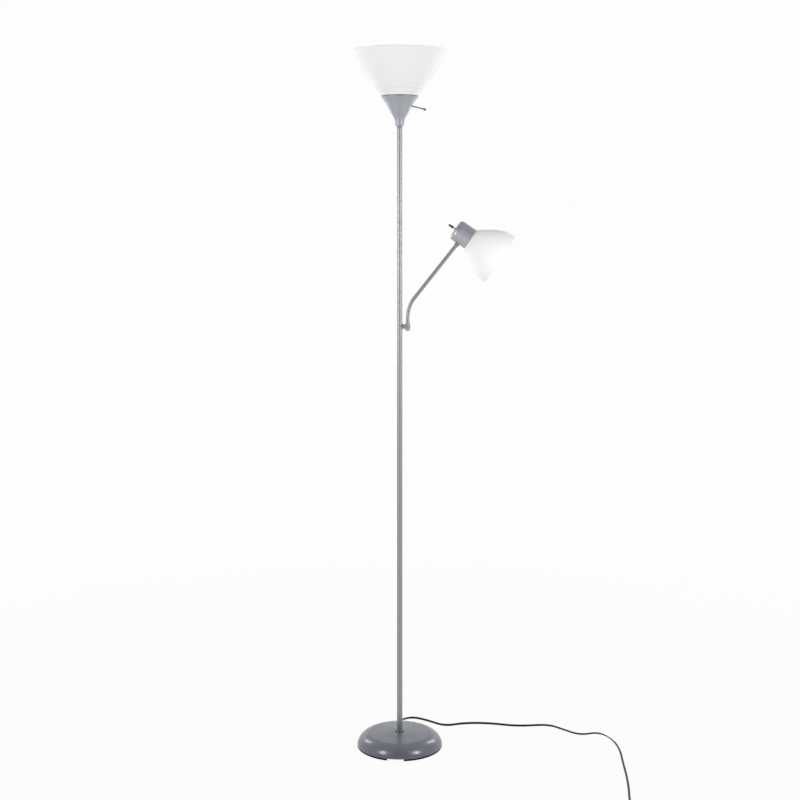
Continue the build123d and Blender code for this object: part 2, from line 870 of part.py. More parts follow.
cup_floor_z = pole_top_z + cup_wall
with BuildPart() as torchiere_cup:
    with BuildSketch(Plane.XZ):
        with BuildLine():
            outer = Spline(*trumpet, (lip_r, lip_z - lip_band))
            inner = wall_inside(outer, cup_wall, [0.0, 0.2, 0.4, 0.6, 0.8, 1.0])
            Polyline(outer @ 1, (lip_r, lip_z), (lip_r - cup_wall, lip_z), inner @ 1)
            Polyline(
                outer @ 0,
                (trumpet[0][0] - 1.7, pole_top_z),
                (loose_hole_r, pole_top_z),
                (loose_hole_r, cup_floor_z),
                (trumpet[0][0] - 2.1, cup_floor_z),
                inner @ 0,
            )
        make_face()
    revolve(axis=Axis.Z)
    with BuildSketch(on_rod(bush_x)):
        Circle(rod_r + 1.0)
    extrude(amount=holder_r, mode=Mode.SUBTRACT)
save(torchiere_cup, "torchiere_cup")

cup_nipple_len = lip_z + cup_nipple_top_t - cup_nipple_low_z
cup_nipple = tube(Plane.XY.offset(cup_nipple_low_z), nipple_r, nipple_bore_r, cup_nipple_len)
save(cup_nipple, "cup_nipple")
cup_nut = hex_nut(Plane.XY.offset(cup_floor_z), nut_flats, nipple_hole_r, nut_h)
save(cup_nut, "cup_nut")

top_blank = holder_body(top_plane, top_back)
with BuildPart() as top_holder_body:
    add(top_blank.part)
    with BuildSketch(on_rod(rod_socket_x)):
        Circle(rod_r + running_gap)
    extrude(amount=holder_r, mode=Mode.SUBTRACT)
    with BuildSketch(on_rod(bush_x)):
        Circle(bush_r)
    extrude(amount=holder_r, mode=Mode.SUBTRACT)
save(top_holder_body, "top_holder_body")

# ---- switches

top_switch_bush = tube(on_rod(bush_x), bush_r, rod_r + running_gap, bush_len)
save(top_switch_bush, "top_switch_bush")

rod_len = (rod_ball_x - rod_start_x) / rod_dir.X
with BuildPart() as top_switch_rod:
    with BuildSketch(on_rod(rod_start_x)):
        Circle(rod_r)
    extrude(amount=rod_len - 1.0)
save(top_switch_rod, "top_switch_rod")

with BuildPart() as top_switch_ball:
    with Locations(ball_centre):
        Sphere(ball_r)
    with BuildSketch(Plane(ball_centre - rod_dir, z_dir=-rod_dir)):
        Circle(rod_r)
    extrude(amount=ball_r, mode=Mode.SUBTRACT)
save(top_switch_ball, "top_switch_ball")

with BuildPart() as reading_switch_stem:
    with BuildSketch(on_head(stem_end_t)):
        Circle(stem_r)
    extrude(amount=stem_start_t - 0.2 - stem_end_t)
save(reading_switch_stem, "reading_switch_stem")

with BuildPart() as reading_switch_key:
    with BuildSketch(on_head(stem_end_t)):
        Circle(key_collar_r)
        Circle(stem_r, mode=Mode.SUBTRACT)
    extrude(amount=key_collar_h)
    with BuildSketch(on_head(key_end_t)):
        RectangleRounded(key_thick, key_wide, key_round)
    extrude(amount=stem_end_t - key_end_t)
save(reading_switch_key, "reading_switch_key")

# ---- mains cord

points = [Vector(*point) for point in cord_route]
coil_out_r = coil_mid_r + coil_pitch * coil_half_turns
points.append(Vector(coil_x + coil_out_r, coil_entry_y, coil_z))
points.append(Vector(coil_x + coil_out_r, coil_y + cord_d, coil_z))
tail_points = [
    Vector(coil_x - back, coil_y - coil_out_r + inward, z) for back, inward, z in cord_tail
]


def bend_radii(corners):
    """Each corner's arc takes up 0.45 of the shorter of its two runs."""
    radii = []
    for before, here, after in zip(corners, corners[1:], corners[2:]):
        half_turn = radians((here - before).get_angle(after - here)) / 2
        radii.append(0.45 * min((here - before).length, (after - here).length) / tan(half_turn))
    return radii


def cord_along(name, corners):
    """A free stretch of cord: straight runs joined by tangent arcs."""
    radii = bend_radii(corners)
    with BuildLine() as route:
        FilletPolyline(*corners, radius=radii)
    path = route.wire()
    stretch = round_tube_along(path, cord_d / 2)
    expected = pi * cord_d**2 / 4 * path.length
    print(name, "bend radii", [round(radius) for radius in radii])
    print(name, "length", round(path.length, 1), "volume ratio",
          round(stretch.part.volume / expected, 4))
    save(stretch, name)


cord_along("power_cord", points)
cord_along("power_cord_tail", tail_points)


def coil_point(turns):
    """A point of the coil, by turns from its middle: radius, height and angle in formulas."""
    away = abs(turns)
    spread = away if away >= 0.25 else 2 * away**2 + 0.125
    radius = coil_mid_r + coil_pitch * spread
    climb = 0.5 + 0.5 * sin(pi * max(-0.25, min(0.25, turns)) / 0.5)
    angle = -2 * pi * (turns + coil_half_turns)
    return Vector(
        coil_x + radius * cos(angle),
        coil_y + radius * sin(angle),
        coil_z + coil_layer * climb,
    )


def coil_heading(turns):
    """The direction of the coil at a point."""
    nudge = 1e-4
    return (coil_point(turns + nudge) - coil_point(turns - nudge)).normalized()


def biarc(start, start_dir, end, end_dir):
    """Two arcs that leave start along start_dir and reach end along end_dir."""
    chord = end - start
    both = start_dir + end_dir
    bend = 2 * (1 - start_dir.dot(end_dir))
    along_both = chord.dot(both)
    reach = (sqrt(along_both**2 + bend * chord.dot(chord)) - along_both) / bend
    join = (start + end + (start_dir - end_dir) * reach) * 0.5
    first = TangentArc(start, join, tangent=start_dir)
    TangentArc(join, end, tangent=first % 1)


steps = [-coil_half_turns + 2 * coil_half_turns * i / coil_steps for i in range(coil_steps + 1)]
knots = [coil_point(turns) for turns in steps]
headings = [coil_heading(turns) for turns in steps]
headings[0] = Vector(0, -1, 0)
headings[-1] = Vector(-1, 0, 0)
with BuildLine() as coil_line:
    Line(knots[0] - headings[0] * cord_d, knots[0])
    for i in range(coil_steps):
        biarc(knots[i], headings[i], knots[i + 1], headings[i + 1])
    Line(knots[-1], knots[-1] + headings[-1] * cord_d)
coil_path = coil_line.wire()
power_cord_coil = round_tube_along(coil_path, cord_d / 2)
save(power_cord_coil, "power_cord_coil")


def least_gap(path, count=420):
    """The least clear gap between turns, measured on points more than four diameters apart."""
    dots = [path.position_at(i / count) for i in range(count + 1)]
    step = path.length / count
    skip = int(4 * cord_d / step) + 1
    return min(
        (dots[i] - dots[j]).length - cord_d
        for i in range(len(dots))
        for j in range(i + skip, len(dots))
    )


print("coil length", round(coil_path.length, 1), "least gap", round(least_gap(coil_path), 2))
print("coil volume ratio",
      round(power_cord_coil.part.volume / (pi * cord_d**2 / 4 * coil_path.length), 4))

# A strap round the coil on its far side from the cord's entry
tie_in = coil_x - coil_mid_r - coil_pitch * tie_turns - cord_d / 2 - 0.4
tie_out = coil_x - coil_mid_r + cord_d / 2 + 0.6
tie_long = tie_out - tie_in
tie_high = coil_z + coil_layer + cord_d / 2 + 0.3 - tie_low_z
with BuildPart() as cord_tie:
    with BuildSketch(Plane.XZ.offset(-coil_y - tie_w / 2)):
        with Locations(((tie_in + tie_out) / 2, tie_low_z + tie_high / 2)):
            RectangleRounded(tie_long + 2 * tie_t, tie_high + 2 * tie_t, tie_round + tie_t)
            RectangleRounded(tie_long, tie_high, tie_round, mode=Mode.SUBTRACT)
    extrude(amount=tie_w)
save(cord_tie, "cord_tie")

# ---- plug

plug_start = tail_points[-1]
plug_dir = (tail_points[-1] - tail_points[-2])
plug_dir = Vector(plug_dir.X, plug_dir.Y, 0).normalized()
plug_side = Vector(-plug_dir.Y, plug_dir.X, 0)


def on_plug(distance):
    """The plane square to the plug, at a distance from where the cord enters it."""
    return Plane(plug_start + plug_dir * distance, x_dir=plug_side, z_dir=plug_dir)


with BuildPart() as plug_body:
    with BuildSketch(on_plug(0)):
        Circle(plug_relief_r)
    with BuildSketch(on_plug(plug_relief_len)):
        RectangleRounded(*plug_neck)
    loft()
    with BuildSketch(on_plug(plug_relief_len)):
        RectangleRounded(plug_w, plug_h, plug_round)
    extrude(amount=plug_len)
    fillet(plug_body.faces().sort_by(Axis(plug_start, plug_dir))[-1].edges(), plug_end_round)
save(plug_body, "plug_body")

with BuildPart() as plug_blades:
    with BuildSketch(on_plug(plug_relief_len + plug_len)):
        with Locations((-blade_apart / 2, 0), (blade_apart / 2, 0)):
            Rectangle(blade_t, blade_w)
    extrude(amount=blade_len)
    chamfer(plug_blades.faces().sort_by(Axis(plug_start, plug_dir))[-2:].edges(), blade_bevel)
save(plug_blades, "plug_blades")
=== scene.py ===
import json
import math

import bmesh
import bpy
import numpy as np
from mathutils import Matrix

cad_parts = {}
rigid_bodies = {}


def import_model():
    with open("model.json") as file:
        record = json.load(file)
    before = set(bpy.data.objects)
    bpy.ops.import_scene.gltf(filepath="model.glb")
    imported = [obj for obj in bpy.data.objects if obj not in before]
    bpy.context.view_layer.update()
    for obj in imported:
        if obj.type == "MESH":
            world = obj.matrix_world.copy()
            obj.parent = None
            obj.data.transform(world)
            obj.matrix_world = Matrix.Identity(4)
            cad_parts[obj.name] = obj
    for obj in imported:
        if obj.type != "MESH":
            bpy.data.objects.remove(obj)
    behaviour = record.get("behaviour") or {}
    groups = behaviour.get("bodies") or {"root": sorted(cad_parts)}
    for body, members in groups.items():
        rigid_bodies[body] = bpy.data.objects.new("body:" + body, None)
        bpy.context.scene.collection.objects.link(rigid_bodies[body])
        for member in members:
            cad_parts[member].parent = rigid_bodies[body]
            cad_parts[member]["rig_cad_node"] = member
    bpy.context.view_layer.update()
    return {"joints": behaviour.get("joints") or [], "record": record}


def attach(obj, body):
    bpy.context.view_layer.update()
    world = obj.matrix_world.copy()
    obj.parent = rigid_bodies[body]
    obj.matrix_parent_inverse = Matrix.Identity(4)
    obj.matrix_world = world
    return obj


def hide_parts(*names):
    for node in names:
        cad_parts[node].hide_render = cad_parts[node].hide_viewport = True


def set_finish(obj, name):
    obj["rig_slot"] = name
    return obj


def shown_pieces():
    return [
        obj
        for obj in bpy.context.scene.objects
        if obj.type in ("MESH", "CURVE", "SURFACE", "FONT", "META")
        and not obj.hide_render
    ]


# Sizes in the settings are millimetres; mm turns them into the scene's metres.
mm = 0.001
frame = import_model()
joints = {joint["name"]: joint for joint in frame["joints"]}

# A level camera in front of the lamp, at the height of the reading head.
view = {"place": (0.0008, -3.615, 1.3735), "lens": 62.6, "sensor": 36, "shiftUp": -0.2294}

scene = bpy.context.scene
cameraData = bpy.data.cameras.new("camera")
cameraData.lens = view["lens"]
cameraData.sensor_width = view["sensor"]
cameraData.shift_y = view["shiftUp"]
camera = bpy.data.objects.new("camera", cameraData)
camera.location = view["place"]
camera.rotation_euler = (math.pi / 2, 0, 0)
scene.collection.objects.link(camera)
scene.camera = camera


# Every new piece is a surface: a grid of points, worked out at once.
def unit(vectors):
    # each vector divided by its length
    return vectors / np.linalg.norm(vectors, axis=-1, keepdims=True)


def place(origin, axis, side=(0, 1, 0)):
    # where a turned piece stands: its axis, and two directions square to it
    axis = unit(np.array(axis, float))
    side = np.array(side, float)
    return {"origin": np.array(origin, float), "axis": axis, "side": side, "across": np.cross(side, axis)}


def jointPlace(name):
    # a joint's point and axis, from the frame's metres
    return place(np.array(joints[name]["pos_m"]) / mm, joints[name]["axis"])


upright = place((0, 0, 0), (0, 0, 1))
armLine = jointPlace("head_swivel")
spool = place((0, 0, joints["arm_swivel"]["pos_m"][2] / mm), (1, 0, 0))
switchRod = jointPlace("top_switch_turn")
readingHead = jointPlace("reading_switch_turn")
cupLip = 1687  # height of the upper cup's edge
topHead = place((0, 0, cupLip), (0, 0, 1))


def allRound(steps):
    # equal steps of angle from 0 to just before 2 pi
    return np.linspace(0, 2 * np.pi, steps, endpoint=False)


def inPlace(where, across, side, height):
    # point = origin + across, side and height along the place's three directions
    return (where["origin"] + across[..., None] * where["across"] + side[..., None] * where["side"]
            + height[..., None] * where["axis"])


def turned(profile, where=upright, steps=96, swell=None):
    # across = radius * cos(angle), side = radius * sin(angle), height from the profile;
    # swell adds to the radius, from the angle and the height
    angle = allRound(steps)
    radius, height = profile[:, 0, None], profile[:, 1, None]
    if swell is not None:
        radius = radius + swell(angle, height) * (radius > 0)
    return inPlace(where, radius * np.cos(angle), radius * np.sin(angle), height)


def rounded(corners, cut, steps=5, closed=True):
    # each corner becomes a quadratic curve between the points a cut away along its two sides
    corners = np.array(corners, float)
    before = np.roll(corners, 1, axis=0) - corners
    after = np.roll(corners, -1, axis=0) - corners
    shorter = np.minimum(np.linalg.norm(before, axis=1), np.linalg.norm(after, axis=1))
    reach = np.minimum(np.broadcast_to(cut, len(corners)), 0.45 * shorter)[:, None]
    if not closed:
        reach = reach * ((np.arange(len(corners)) % (len(corners) - 1)) > 0)[:, None]
    start, end = corners + unit(before) * reach, corners + unit(after) * reach
    t = np.linspace(0, 1, steps)[None, :, None]
    curve = (1 - t) ** 2 * start[:, None] + 2 * t * (1 - t) * corners[:, None] + t**2 * end[:, None]
    points = curve.reshape(-1, 2)
    return points[np.r_[True, np.linalg.norm(np.diff(points, axis=0), axis=1) > 1e-4]]


def bandProfile(inner, outer, low, high, cuts, steps=4):
    # a rectangle's outline: out along its foot, up its side and back; one that meets the axis stays open
    return rounded([(inner, low), (outer, low), (outer, high), (inner, high)], cuts, steps, closed=inner > 0)


def lengthAlong(points):
    # the sum of the runs up to each point
    return np.r_[0, np.cumsum(np.linalg.norm(np.diff(points, axis=0), axis=1))]


def smoothThrough(knots, count):
    # a natural cubic spline through the knots: its second derivatives solve one linear system
    knots = np.array(knots, float)
    chord = lengthAlong(knots)
    gap = np.diff(chord)
    inner = np.arange(1, len(knots) - 1)
    system, right = np.eye(len(knots)), np.zeros_like(knots)
    system[inner, inner - 1] = gap[:-1]
    system[inner, inner] = 2 * (gap[:-1] + gap[1:])
    system[inner, inner + 1] = gap[1:]
    right[inner] = 6 * np.diff(np.diff(knots, axis=0) / gap[:, None], axis=0)
    bend = np.linalg.solve(system, right)
    at = np.linspace(0, chord[-1], count)
    i = np.clip(np.searchsorted(chord, at) - 1, 0, len(knots) - 2)
    a = ((chord[i + 1] - at) / gap[i])[:, None]
    b, h = 1 - a, gap[i][:, None]
    return a * knots[i] + b * knots[i + 1] + ((a**3 - a) * bend[i] + (b**3 - b) * bend[i + 1]) * h**2 / 6


def arcFrom(start, heading, end, count):
    # a circular arc that leaves start along heading and reaches end:
    # start + radius * (sin(t) * forward + (1 - cos(t)) * left)
    start, end, heading = (np.array(v, float) for v in (start, end, heading))
    chord = end - start
    between = math.atan2(chord[1], chord[0]) - math.atan2(heading[1], heading[0])
    turn = 2 * math.remainder(between, 2 * math.pi)
    radius = np.linalg.norm(chord) / (2 * math.sin(turn / 2))
    forward = unit(heading)
    left = np.array([-forward[1], forward[0]])
    t = np.linspace(0, turn, count)[:, None]
    return start + radius * (np.sin(t) * forward + (1 - np.cos(t)) * left)


def inside(outline, wall):
    # the outline moved to its left by the wall's thickness
    along = unit(np.gradient(outline, axis=0))
    return outline + wall * np.stack([-along[:, 1], along[:, 0]], axis=1)


def dense(outline, step):
    # an outline's points no further apart than a step, for screw threads
    length = lengthAlong(outline)
    at = np.unique(np.r_[length, np.arange(0, length[-1], step)])
    return np.stack([np.interp(at, length, outline[:, k]) for k in (0, 1)], axis=1)


def thread(pitch, depth, low, high):
    # a round thread between two heights: depth * cos(2 pi height / pitch - angle), faded at both ends
    def swell(angle, height):
        fade = np.clip((height - low) / pitch, 0, 1) * np.clip((high - height) / pitch, 0, 1)
        return depth * fade * (np.cos(2 * np.pi * height / pitch - angle) - 1) / 2
    return swell


def swept(path, side, section, along=None):
    # a section carried along a path: point = path + first * side + second * lift
    if along is None:
        along = unit(np.gradient(path, axis=0))
    lift = unit(np.cross(along, side))
    side = np.cross(lift, along)
    return path[:, None] + section[..., 0, None] * side[:, None] + section[..., 1, None] * lift[:, None]


def circle(radius, steps):
    # radius * (cos(angle), sin(angle))
    angle = allRound(steps)
    return radius * np.stack([np.cos(angle), np.sin(angle)], axis=1)


def squircle(width, height, power, steps):
    # a rounded rectangle: half width * cos(angle) ** (2 / power), half height * sin(angle) ** (2 / power),
    # with the signs of the cosine and the sine; sizes given as columns make one section for each row
    angle = allRound(steps)
    c, s = np.cos(angle), np.sin(angle)
    return np.stack([width / 2 * np.sign(c) * np.abs(c) ** (2 / power),
                     height / 2 * np.sign(s) * np.abs(s) ** (2 / power)], axis=-1)


def alongStations(stations, count):
    # the distances along a piece, and its width, height and squareness there, straight between the stations
    knots = np.array(stations)
    at = np.linspace(knots[0, 0], knots[-1, 0], count)
    return at, [np.interp(at, knots[:, 0], knots[:, k])[:, None] for k in (1, 2, 3)]


def rotated(outline, angle):
    # the outline turned once for each angle: x cos(angle) - y sin(angle), x sin(angle) + y cos(angle)
    c, s = np.cos(angle)[:, None], np.sin(angle)[:, None]
    x, y = outline.T
    return np.stack([x * c - y * s, x * s + y * c], axis=-1)


def smoothStep(t):
    # 3 t ** 2 - 2 t ** 3, from 0 to 1 and level at both ends
    return t * t * (3 - 2 * t)


def capped(points):
    # a row drawn in to its middle closes each end
    ends = [np.broadcast_to(row.mean(axis=0), row.shape)[None] for row in (points[0], points[-1])]
    return np.concatenate([ends[0], points, ends[1]])


def pieceFrom(name, patches, body, slotName, replaced, sharp=32):
    # patches are (points, whether the rows close on themselves); the columns always do
    vertices, faces, first = [], [], 0
    for points, rowsClose in patches:
        rows, columns = points.shape[:2]
        number = first + np.arange(rows * columns).reshape(rows, columns)
        if rowsClose:
            number = np.vstack([number, number[:1]])
        number = np.hstack([number, number[:, :1]])
        quads = [number[:-1, :-1], number[:-1, 1:], number[1:, 1:], number[1:, :-1]]
        faces.append(np.stack(quads, axis=-1).reshape(-1, 4))
        vertices.append(points.reshape(-1, 3) * mm)
        first += rows * columns
    mesh = bpy.data.meshes.new(name)
    mesh.from_pydata(np.concatenate(vertices).tolist(), [], np.concatenate(faces).tolist())
    shape = bmesh.new()
    shape.from_mesh(mesh)
    bmesh.ops.remove_doubles(shape, verts=shape.verts, dist=1e-6)
    bmesh.ops.recalc_face_normals(shape, faces=shape.faces)
    shape.to_mesh(mesh)
    shape.free()
    mesh.shade_smooth()
    mesh.set_sharp_from_angle(angle=math.radians(sharp))
    obj = bpy.data.objects.new(name, mesh)
    scene.collection.objects.link(obj)
    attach(obj, body)
    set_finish(obj, slotName)
    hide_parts(*replaced)
    return obj


def turnedPiece(name, profile, body, slotName, replaced, where=upright, steps=96, swell=None, sharp=32):
    # a profile that starts on the axis ends there too; any other closes on itself
    rowsClose = profile[0, 0] > 1e-6
    pieceFrom(name, [(turned(profile, where, steps, swell), rowsClose)], body, slotName, [replaced], sharp)


# mains cord, its coil and its plug

cord = {
    "width": 5.6,
    "thick": 2.8,
    "floorGap": 0.05,
    "exit": (0, 134, 5),
    "route": [
        (0, 134, 5), (0, 149.5, 5), (-0.8, 166, 3.7), (9.8, 182.5, 2.85), (26.6, 191.5, 2.85),
        (45.6, 190.2, 2.85), (76, 169.5, 2.85), (121, 128, 2.85), (172, 150, 2.85), (240, 150, 2.85),
        (318, 126, 2.85), (399, 140, 2.85), (433, 108, 2.85), (476, 62, 2.85), (529, 85, 2.85),
        (559, 34, 2.85), (567, -38, 2.85), (561, -118, 2.85), (557, -200, 2.85), (550, -276, 2.85),
        (541, -340, 2.85), (538.64, -384, 3.45), (538.64, -424.4, 3.45),
    ],
    "tail": [(497.4, -465.64, 9.55), (478, -465.64, 9.55), (455, -464.14, 7.05), (433, -460.14, 7.05)],
    # where the flat pair stands on its edge: share of the length, turn in degrees
    "twist": [(0, 0), (0.02, 10), (0.06, 80), (0.13, 76), (0.2, 92), (0.3, 118), (0.4, 165), (0.62, 180),
              (1, 180)],
    "ringStep": 2.2,
    # how far from the base and from the plug the round route still holds it, and half of a lead's arc
    "heldAtBase": 42, "heldAtPlug": 62, "leadArc": 150,
}
coil = {"x": 503, "y": -430, "middle": 25.4, "pitch": 6.3, "halfTurns": 1.625, "layer": 6.1,
        "bottom": 3.45, "pointsPerTurn": 16, "layFlat": 2.85, "crossing": 0.25}


def coilPoints():
    # turns run from -halfTurns to halfTurns. The radius falls to the middle and grows again: it follows the
    # turns outside the crossing and a parabola inside it. The height climbs one layer along the crossing,
    # as 0.5 + 0.5 * sin(90 degrees * turns / crossing).
    count = int(2 * coil["halfTurns"] * coil["pointsPerTurn"]) + 1
    turns = np.linspace(-coil["halfTurns"], coil["halfTurns"], count)
    away, crossing = np.abs(turns), coil["crossing"]
    spread = np.where(away >= crossing, away, away**2 / (2 * crossing) + crossing / 2)
    # the spline runs inside its points, so they stand out by that much
    radius = (coil["middle"] + coil["pitch"] * spread) / math.cos(math.pi / coil["pointsPerTurn"])
    climb = 0.5 + 0.5 * np.sin(np.pi / 2 * np.clip(turns / crossing, -1, 1))
    angle = -2 * np.pi * (turns + coil["halfTurns"])
    x, y = coil["x"] + radius * np.cos(angle), coil["y"] + radius * np.sin(angle)
    return np.stack([x, y, coil["bottom"] + coil["layer"] * climb], axis=1)


def nurbsLine(points, resolution):
    # the points of a smooth open spline that has the route's points as its controls
    curve = bpy.data.curves.new("route", "CURVE")
    curve.dimensions = "3D"
    curve.resolution_u = resolution
    spline = curve.splines.new("NURBS")
    spline.points.add(len(points) - 1)
    spline.points.foreach_set("co", np.c_[points, np.ones(len(points))].ravel())
    spline.order_u = 3
    spline.use_endpoint_u = True
    holder = bpy.data.objects.new("route", curve)
    scene.collection.objects.link(holder)
    bpy.context.view_layer.update()
    mesh = bpy.data.meshes.new_from_object(holder)
    line = np.zeros(len(mesh.vertices) * 3)
    mesh.vertices.foreach_get("co", line)
    bpy.data.objects.remove(holder)
    bpy.data.curves.remove(curve)
    bpy.data.meshes.remove(mesh)
    return line.reshape(-1, 3)


def evenly(line, step):
    # the same line with its points one step apart
    length = lengthAlong(line)
    at = np.linspace(0, length[-1], int(length[-1] / step) + 1)
    return np.stack([np.interp(at, length, line[:, k]) for k in range(3)], axis=1), at / length[-1]


def smoothStops(stops, at):
    # values between stops: the lower one plus their difference * a smooth step
    x, y = np.array(stops, float).T
    i = np.clip(np.searchsorted(x, at) - 1, 0, len(x) - 2)
    t = np.clip((at - x[i]) / (x[i + 1] - x[i]), 0, 1)
    return y[i] + (y[i + 1] - y[i]) * smoothStep(t)


def twinSection(radius, steps=11):
    # two round leads side by side: arcs of 300 degrees that meet in a groove
    angle = np.radians(np.linspace(-cord["leadArc"], cord["leadArc"], steps))
    lobe = radius * np.stack([1 + np.cos(angle), np.sin(angle)], axis=1)
    return np.concatenate([lobe, -lobe])


# the flat pair lies on the floor, lifted where it stands on its edge, and takes the route's own height
# at the base and at the plug
controls = np.concatenate([np.array(cord["route"], float), coilPoints(), np.array(cord["tail"], float)])
splineLine, share = evenly(nurbsLine(controls * mm, resolution=12) / mm, cord["ringStep"])
twist = np.radians(smoothStops(cord["twist"], share))
half = cord["thick"] / 2
lying = cord["floorGap"] + half + half * np.abs(np.sin(twist))
flat = lying + np.clip(splineLine[:, 2] - coil["bottom"], 0, None) * coil["layFlat"] / coil["layer"]
distance = share * lengthAlong(splineLine)[-1]
leave = np.clip(distance / cord["heldAtBase"], 0, 1)
arrive = np.clip((distance[-1] - distance) / cord["heldAtPlug"], 0, 1)
held = 2 - smoothStep(leave) - smoothStep(arrive)
ringCentres = splineLine.copy()
ringCentres[:, 2] = held * splineLine[:, 2] + (1 - held) * flat
up = np.array([0, 0, 1])
levelSide = unit(np.cross(up, unit(np.gradient(ringCentres, axis=0))))
cordRings = swept(ringCentres, levelSide, rotated(twinSection(half), twist))
powerCord = pieceFrom(
    "powerCord", [(capped(cordRings), False)], "stand", "cord_black",
    ["power_cord", "power_cord_tail", "power_cord_coil"], sharp=80,
)

plug = {
    # distance from the cord's end, width, height, squareness of each cross-section
    "stations": [
        (0, 6.4, 6, 2), (3.2, 6.6, 6.2, 2), (6.4, 7.4, 6.6, 2.2), (9.6, 8.6, 7.2, 2.4),
        (12.6, 9.8, 8, 2.8), (14, 14, 10.4, 3), (15, 19, 12.6, 3.6), (17, 21.2, 13.6, 4.2),
        (21, 21.6, 13.4, 4.6), (25.5, 20.4, 12.2, 4.6), (30, 21.4, 13.2, 4.6), (33.5, 21.9, 13.9, 5),
        (36.2, 21.9, 13.9, 5), (37, 20.8, 12.8, 4.6),
    ],
    "ribDepth": 0.45, "ribPitch": 2.6, "ribsTo": 13, "gripDepth": 0.28, "gripPitch": 1.7,
    "grip": (19.5, 31.5), "fade": 2,
    "bladeApart": 12.7, "bladeLong": 17.5, "bladeWide": 6.3, "bladeThick": 1.5, "bladeFrom": 36.6,
    "bladeSquare": 9, "bladeEase": (0.4, 0.35), "holeRadius": 1.55, "holeFromTip": 4.2,
}
plugStart = np.array(cord["tail"][-1], float)
plugAlong = unit(plugStart - np.array(cord["tail"][-2], float))
plugSide = np.array([-plugAlong[1], plugAlong[0], 0])


def plugBody():
    # rounded rectangles whose sizes run through the stations; ribs ring the strain relief, and fine grooves
    # cross the grip's waist: depth * (1 - cos(2 pi distance / pitch))
    at, (wide, high, power) = alongStations(plug["stations"], 150)
    fade, (gripLow, gripHigh) = plug["fade"], plug["grip"]
    relief = np.clip((plug["ribsTo"] - at) / fade, 0, 1)
    grip = np.clip((at - gripLow) / fade, 0, 1) * np.clip((gripHigh - at) / fade, 0, 1)
    groove = plug["ribDepth"] * relief * (1 - np.cos(2 * np.pi * at / plug["ribPitch"]))
    groove = groove + plug["gripDepth"] * grip * (1 - np.cos(2 * np.pi * at / plug["gripPitch"]))
    deep = 2 * groove[:, None]
    path = plugStart + at[:, None] * plugAlong
    section = squircle(wide - deep, high - deep, power, 64)
    return capped(swept(path, plugSide, section))


def plugBlade(offset):
    # a plate with a hole: rays from the hole's middle run from its edge to the plate's rounded outline,
    # whose distance is (|cos / ahead| ** power + |sin / half width| ** power) ** (-1 / power)
    angle = allRound(72)
    c, s = np.cos(angle), np.sin(angle)
    back = plug["bladeLong"] - plug["holeFromTip"]
    ahead = np.where(c > 0, plug["holeFromTip"], back)
    power, (inset, drop) = plug["bladeSquare"], plug["bladeEase"]
    ray = 1 / (np.abs(c / ahead) ** power + np.abs(s / (plug["bladeWide"] / 2)) ** power) ** (1 / power)
    hole = np.full_like(ray, plug["holeRadius"])
    reach = np.stack([hole, ray - inset, ray, ray, ray - inset, hole])
    half = plug["bladeThick"] / 2
    level = np.array([half, half, half - drop, drop - half, -half, -half])[:, None]
    middle = plug["bladeFrom"] + back + inset
    where = {"origin": plugStart, "across": plugAlong, "side": plugSide, "axis": up}
    return inPlace(where, middle + reach * c, offset + level, reach * s)


plugBodyPiece = pieceFrom("plugBody", [(plugBody(), False)], "stand", "cord_black", ["plug_body"], sharp=50)
blades = [(plugBlade(side * plug["bladeApart"] / 2), True) for side in (-1, 1)]
plugBladesPiece = pieceFrom("plugBlades", blades, "stand", "brass", ["plug_blades"])

tie = {"inner": 22.6, "outer": 35.4, "low": 0.55, "high": 6.6, "wide": 4.6, "thick": 0.55, "corner": 2.6,
       # one side of the strip, in halves of its width and thickness: flat wings and a round wire's ridge
       "outline": [(-1, -0.2), (-0.9, -1), (-0.25, -1), (0, -1.9), (0.25, -1), (0.9, -1), (1, -0.2)],
       "tailLong": 15, "tailTurns": 2.5, "tailSlow": 1.6, "tailFrom": 3, "tailBend": 0.62,
       "tailRise": 2.3, "tailLift": 0.9, "tailDrift": 2, "tailScale": 0.8, "tailWide": 2.6, "tailThick": 0.7,
       # gap between the two ends: at their start, where it begins to open, by how much, and how fast
       "apart": 0.5, "openFrom": 0.55, "openBy": 2.6, "openPower": 1.3}


def tieBand():
    # a rounded loop round the turns, in a plane through the coil's axis, with a flat ribbed section
    corners = [(-tie["outer"], tie["low"]), (-tie["inner"], tie["low"]),
               (-tie["inner"], tie["high"]), (-tie["outer"], tie["high"])]
    loop = rounded(corners, tie["corner"], 9)
    line = np.stack([coil["x"] + loop[:, 0], np.full(len(loop), coil["y"]), loop[:, 1]], axis=1)
    along = unit(np.roll(line, -1, axis=0) - np.roll(line, 1, axis=0))
    half = np.array(tie["outline"])
    edge = np.concatenate([half, -half]) * (tie["wide"] / 2, tie["thick"] / 2)
    return swept(line, (0, 1, 0), edge, along)


def tieTail(side):
    # the two free ends twist round each other above the loop: a flat strip turned about its own line
    at = np.linspace(0, 1, 40)
    turn = 2 * np.pi * tie["tailTurns"] * at * np.clip(tie["tailSlow"] - at, 0, 1)
    turn = turn + (np.pi if side > 0 else 0)
    middle = (tie["inner"] + tie["outer"]) / 2
    spread = tie["apart"] + tie["openBy"] * np.clip(at - tie["openFrom"], 0, 1) ** tie["openPower"] * 2
    line = np.stack([
        coil["x"] - middle + tie["tailFrom"] - tie["tailLong"] * tie["tailBend"] * at,
        coil["y"] + side * spread * tie["tailScale"] + tie["tailDrift"] * at,
        tie["high"] + tie["tailLift"] + tie["tailRise"] * np.sin(np.pi * at * tie["tailBend"]),
    ], axis=1)
    edge = squircle(tie["tailWide"], tie["tailThick"], 2.6, 16)
    return capped(swept(line, (0, 1, 0), rotated(edge, turn) * tie["tailScale"]))


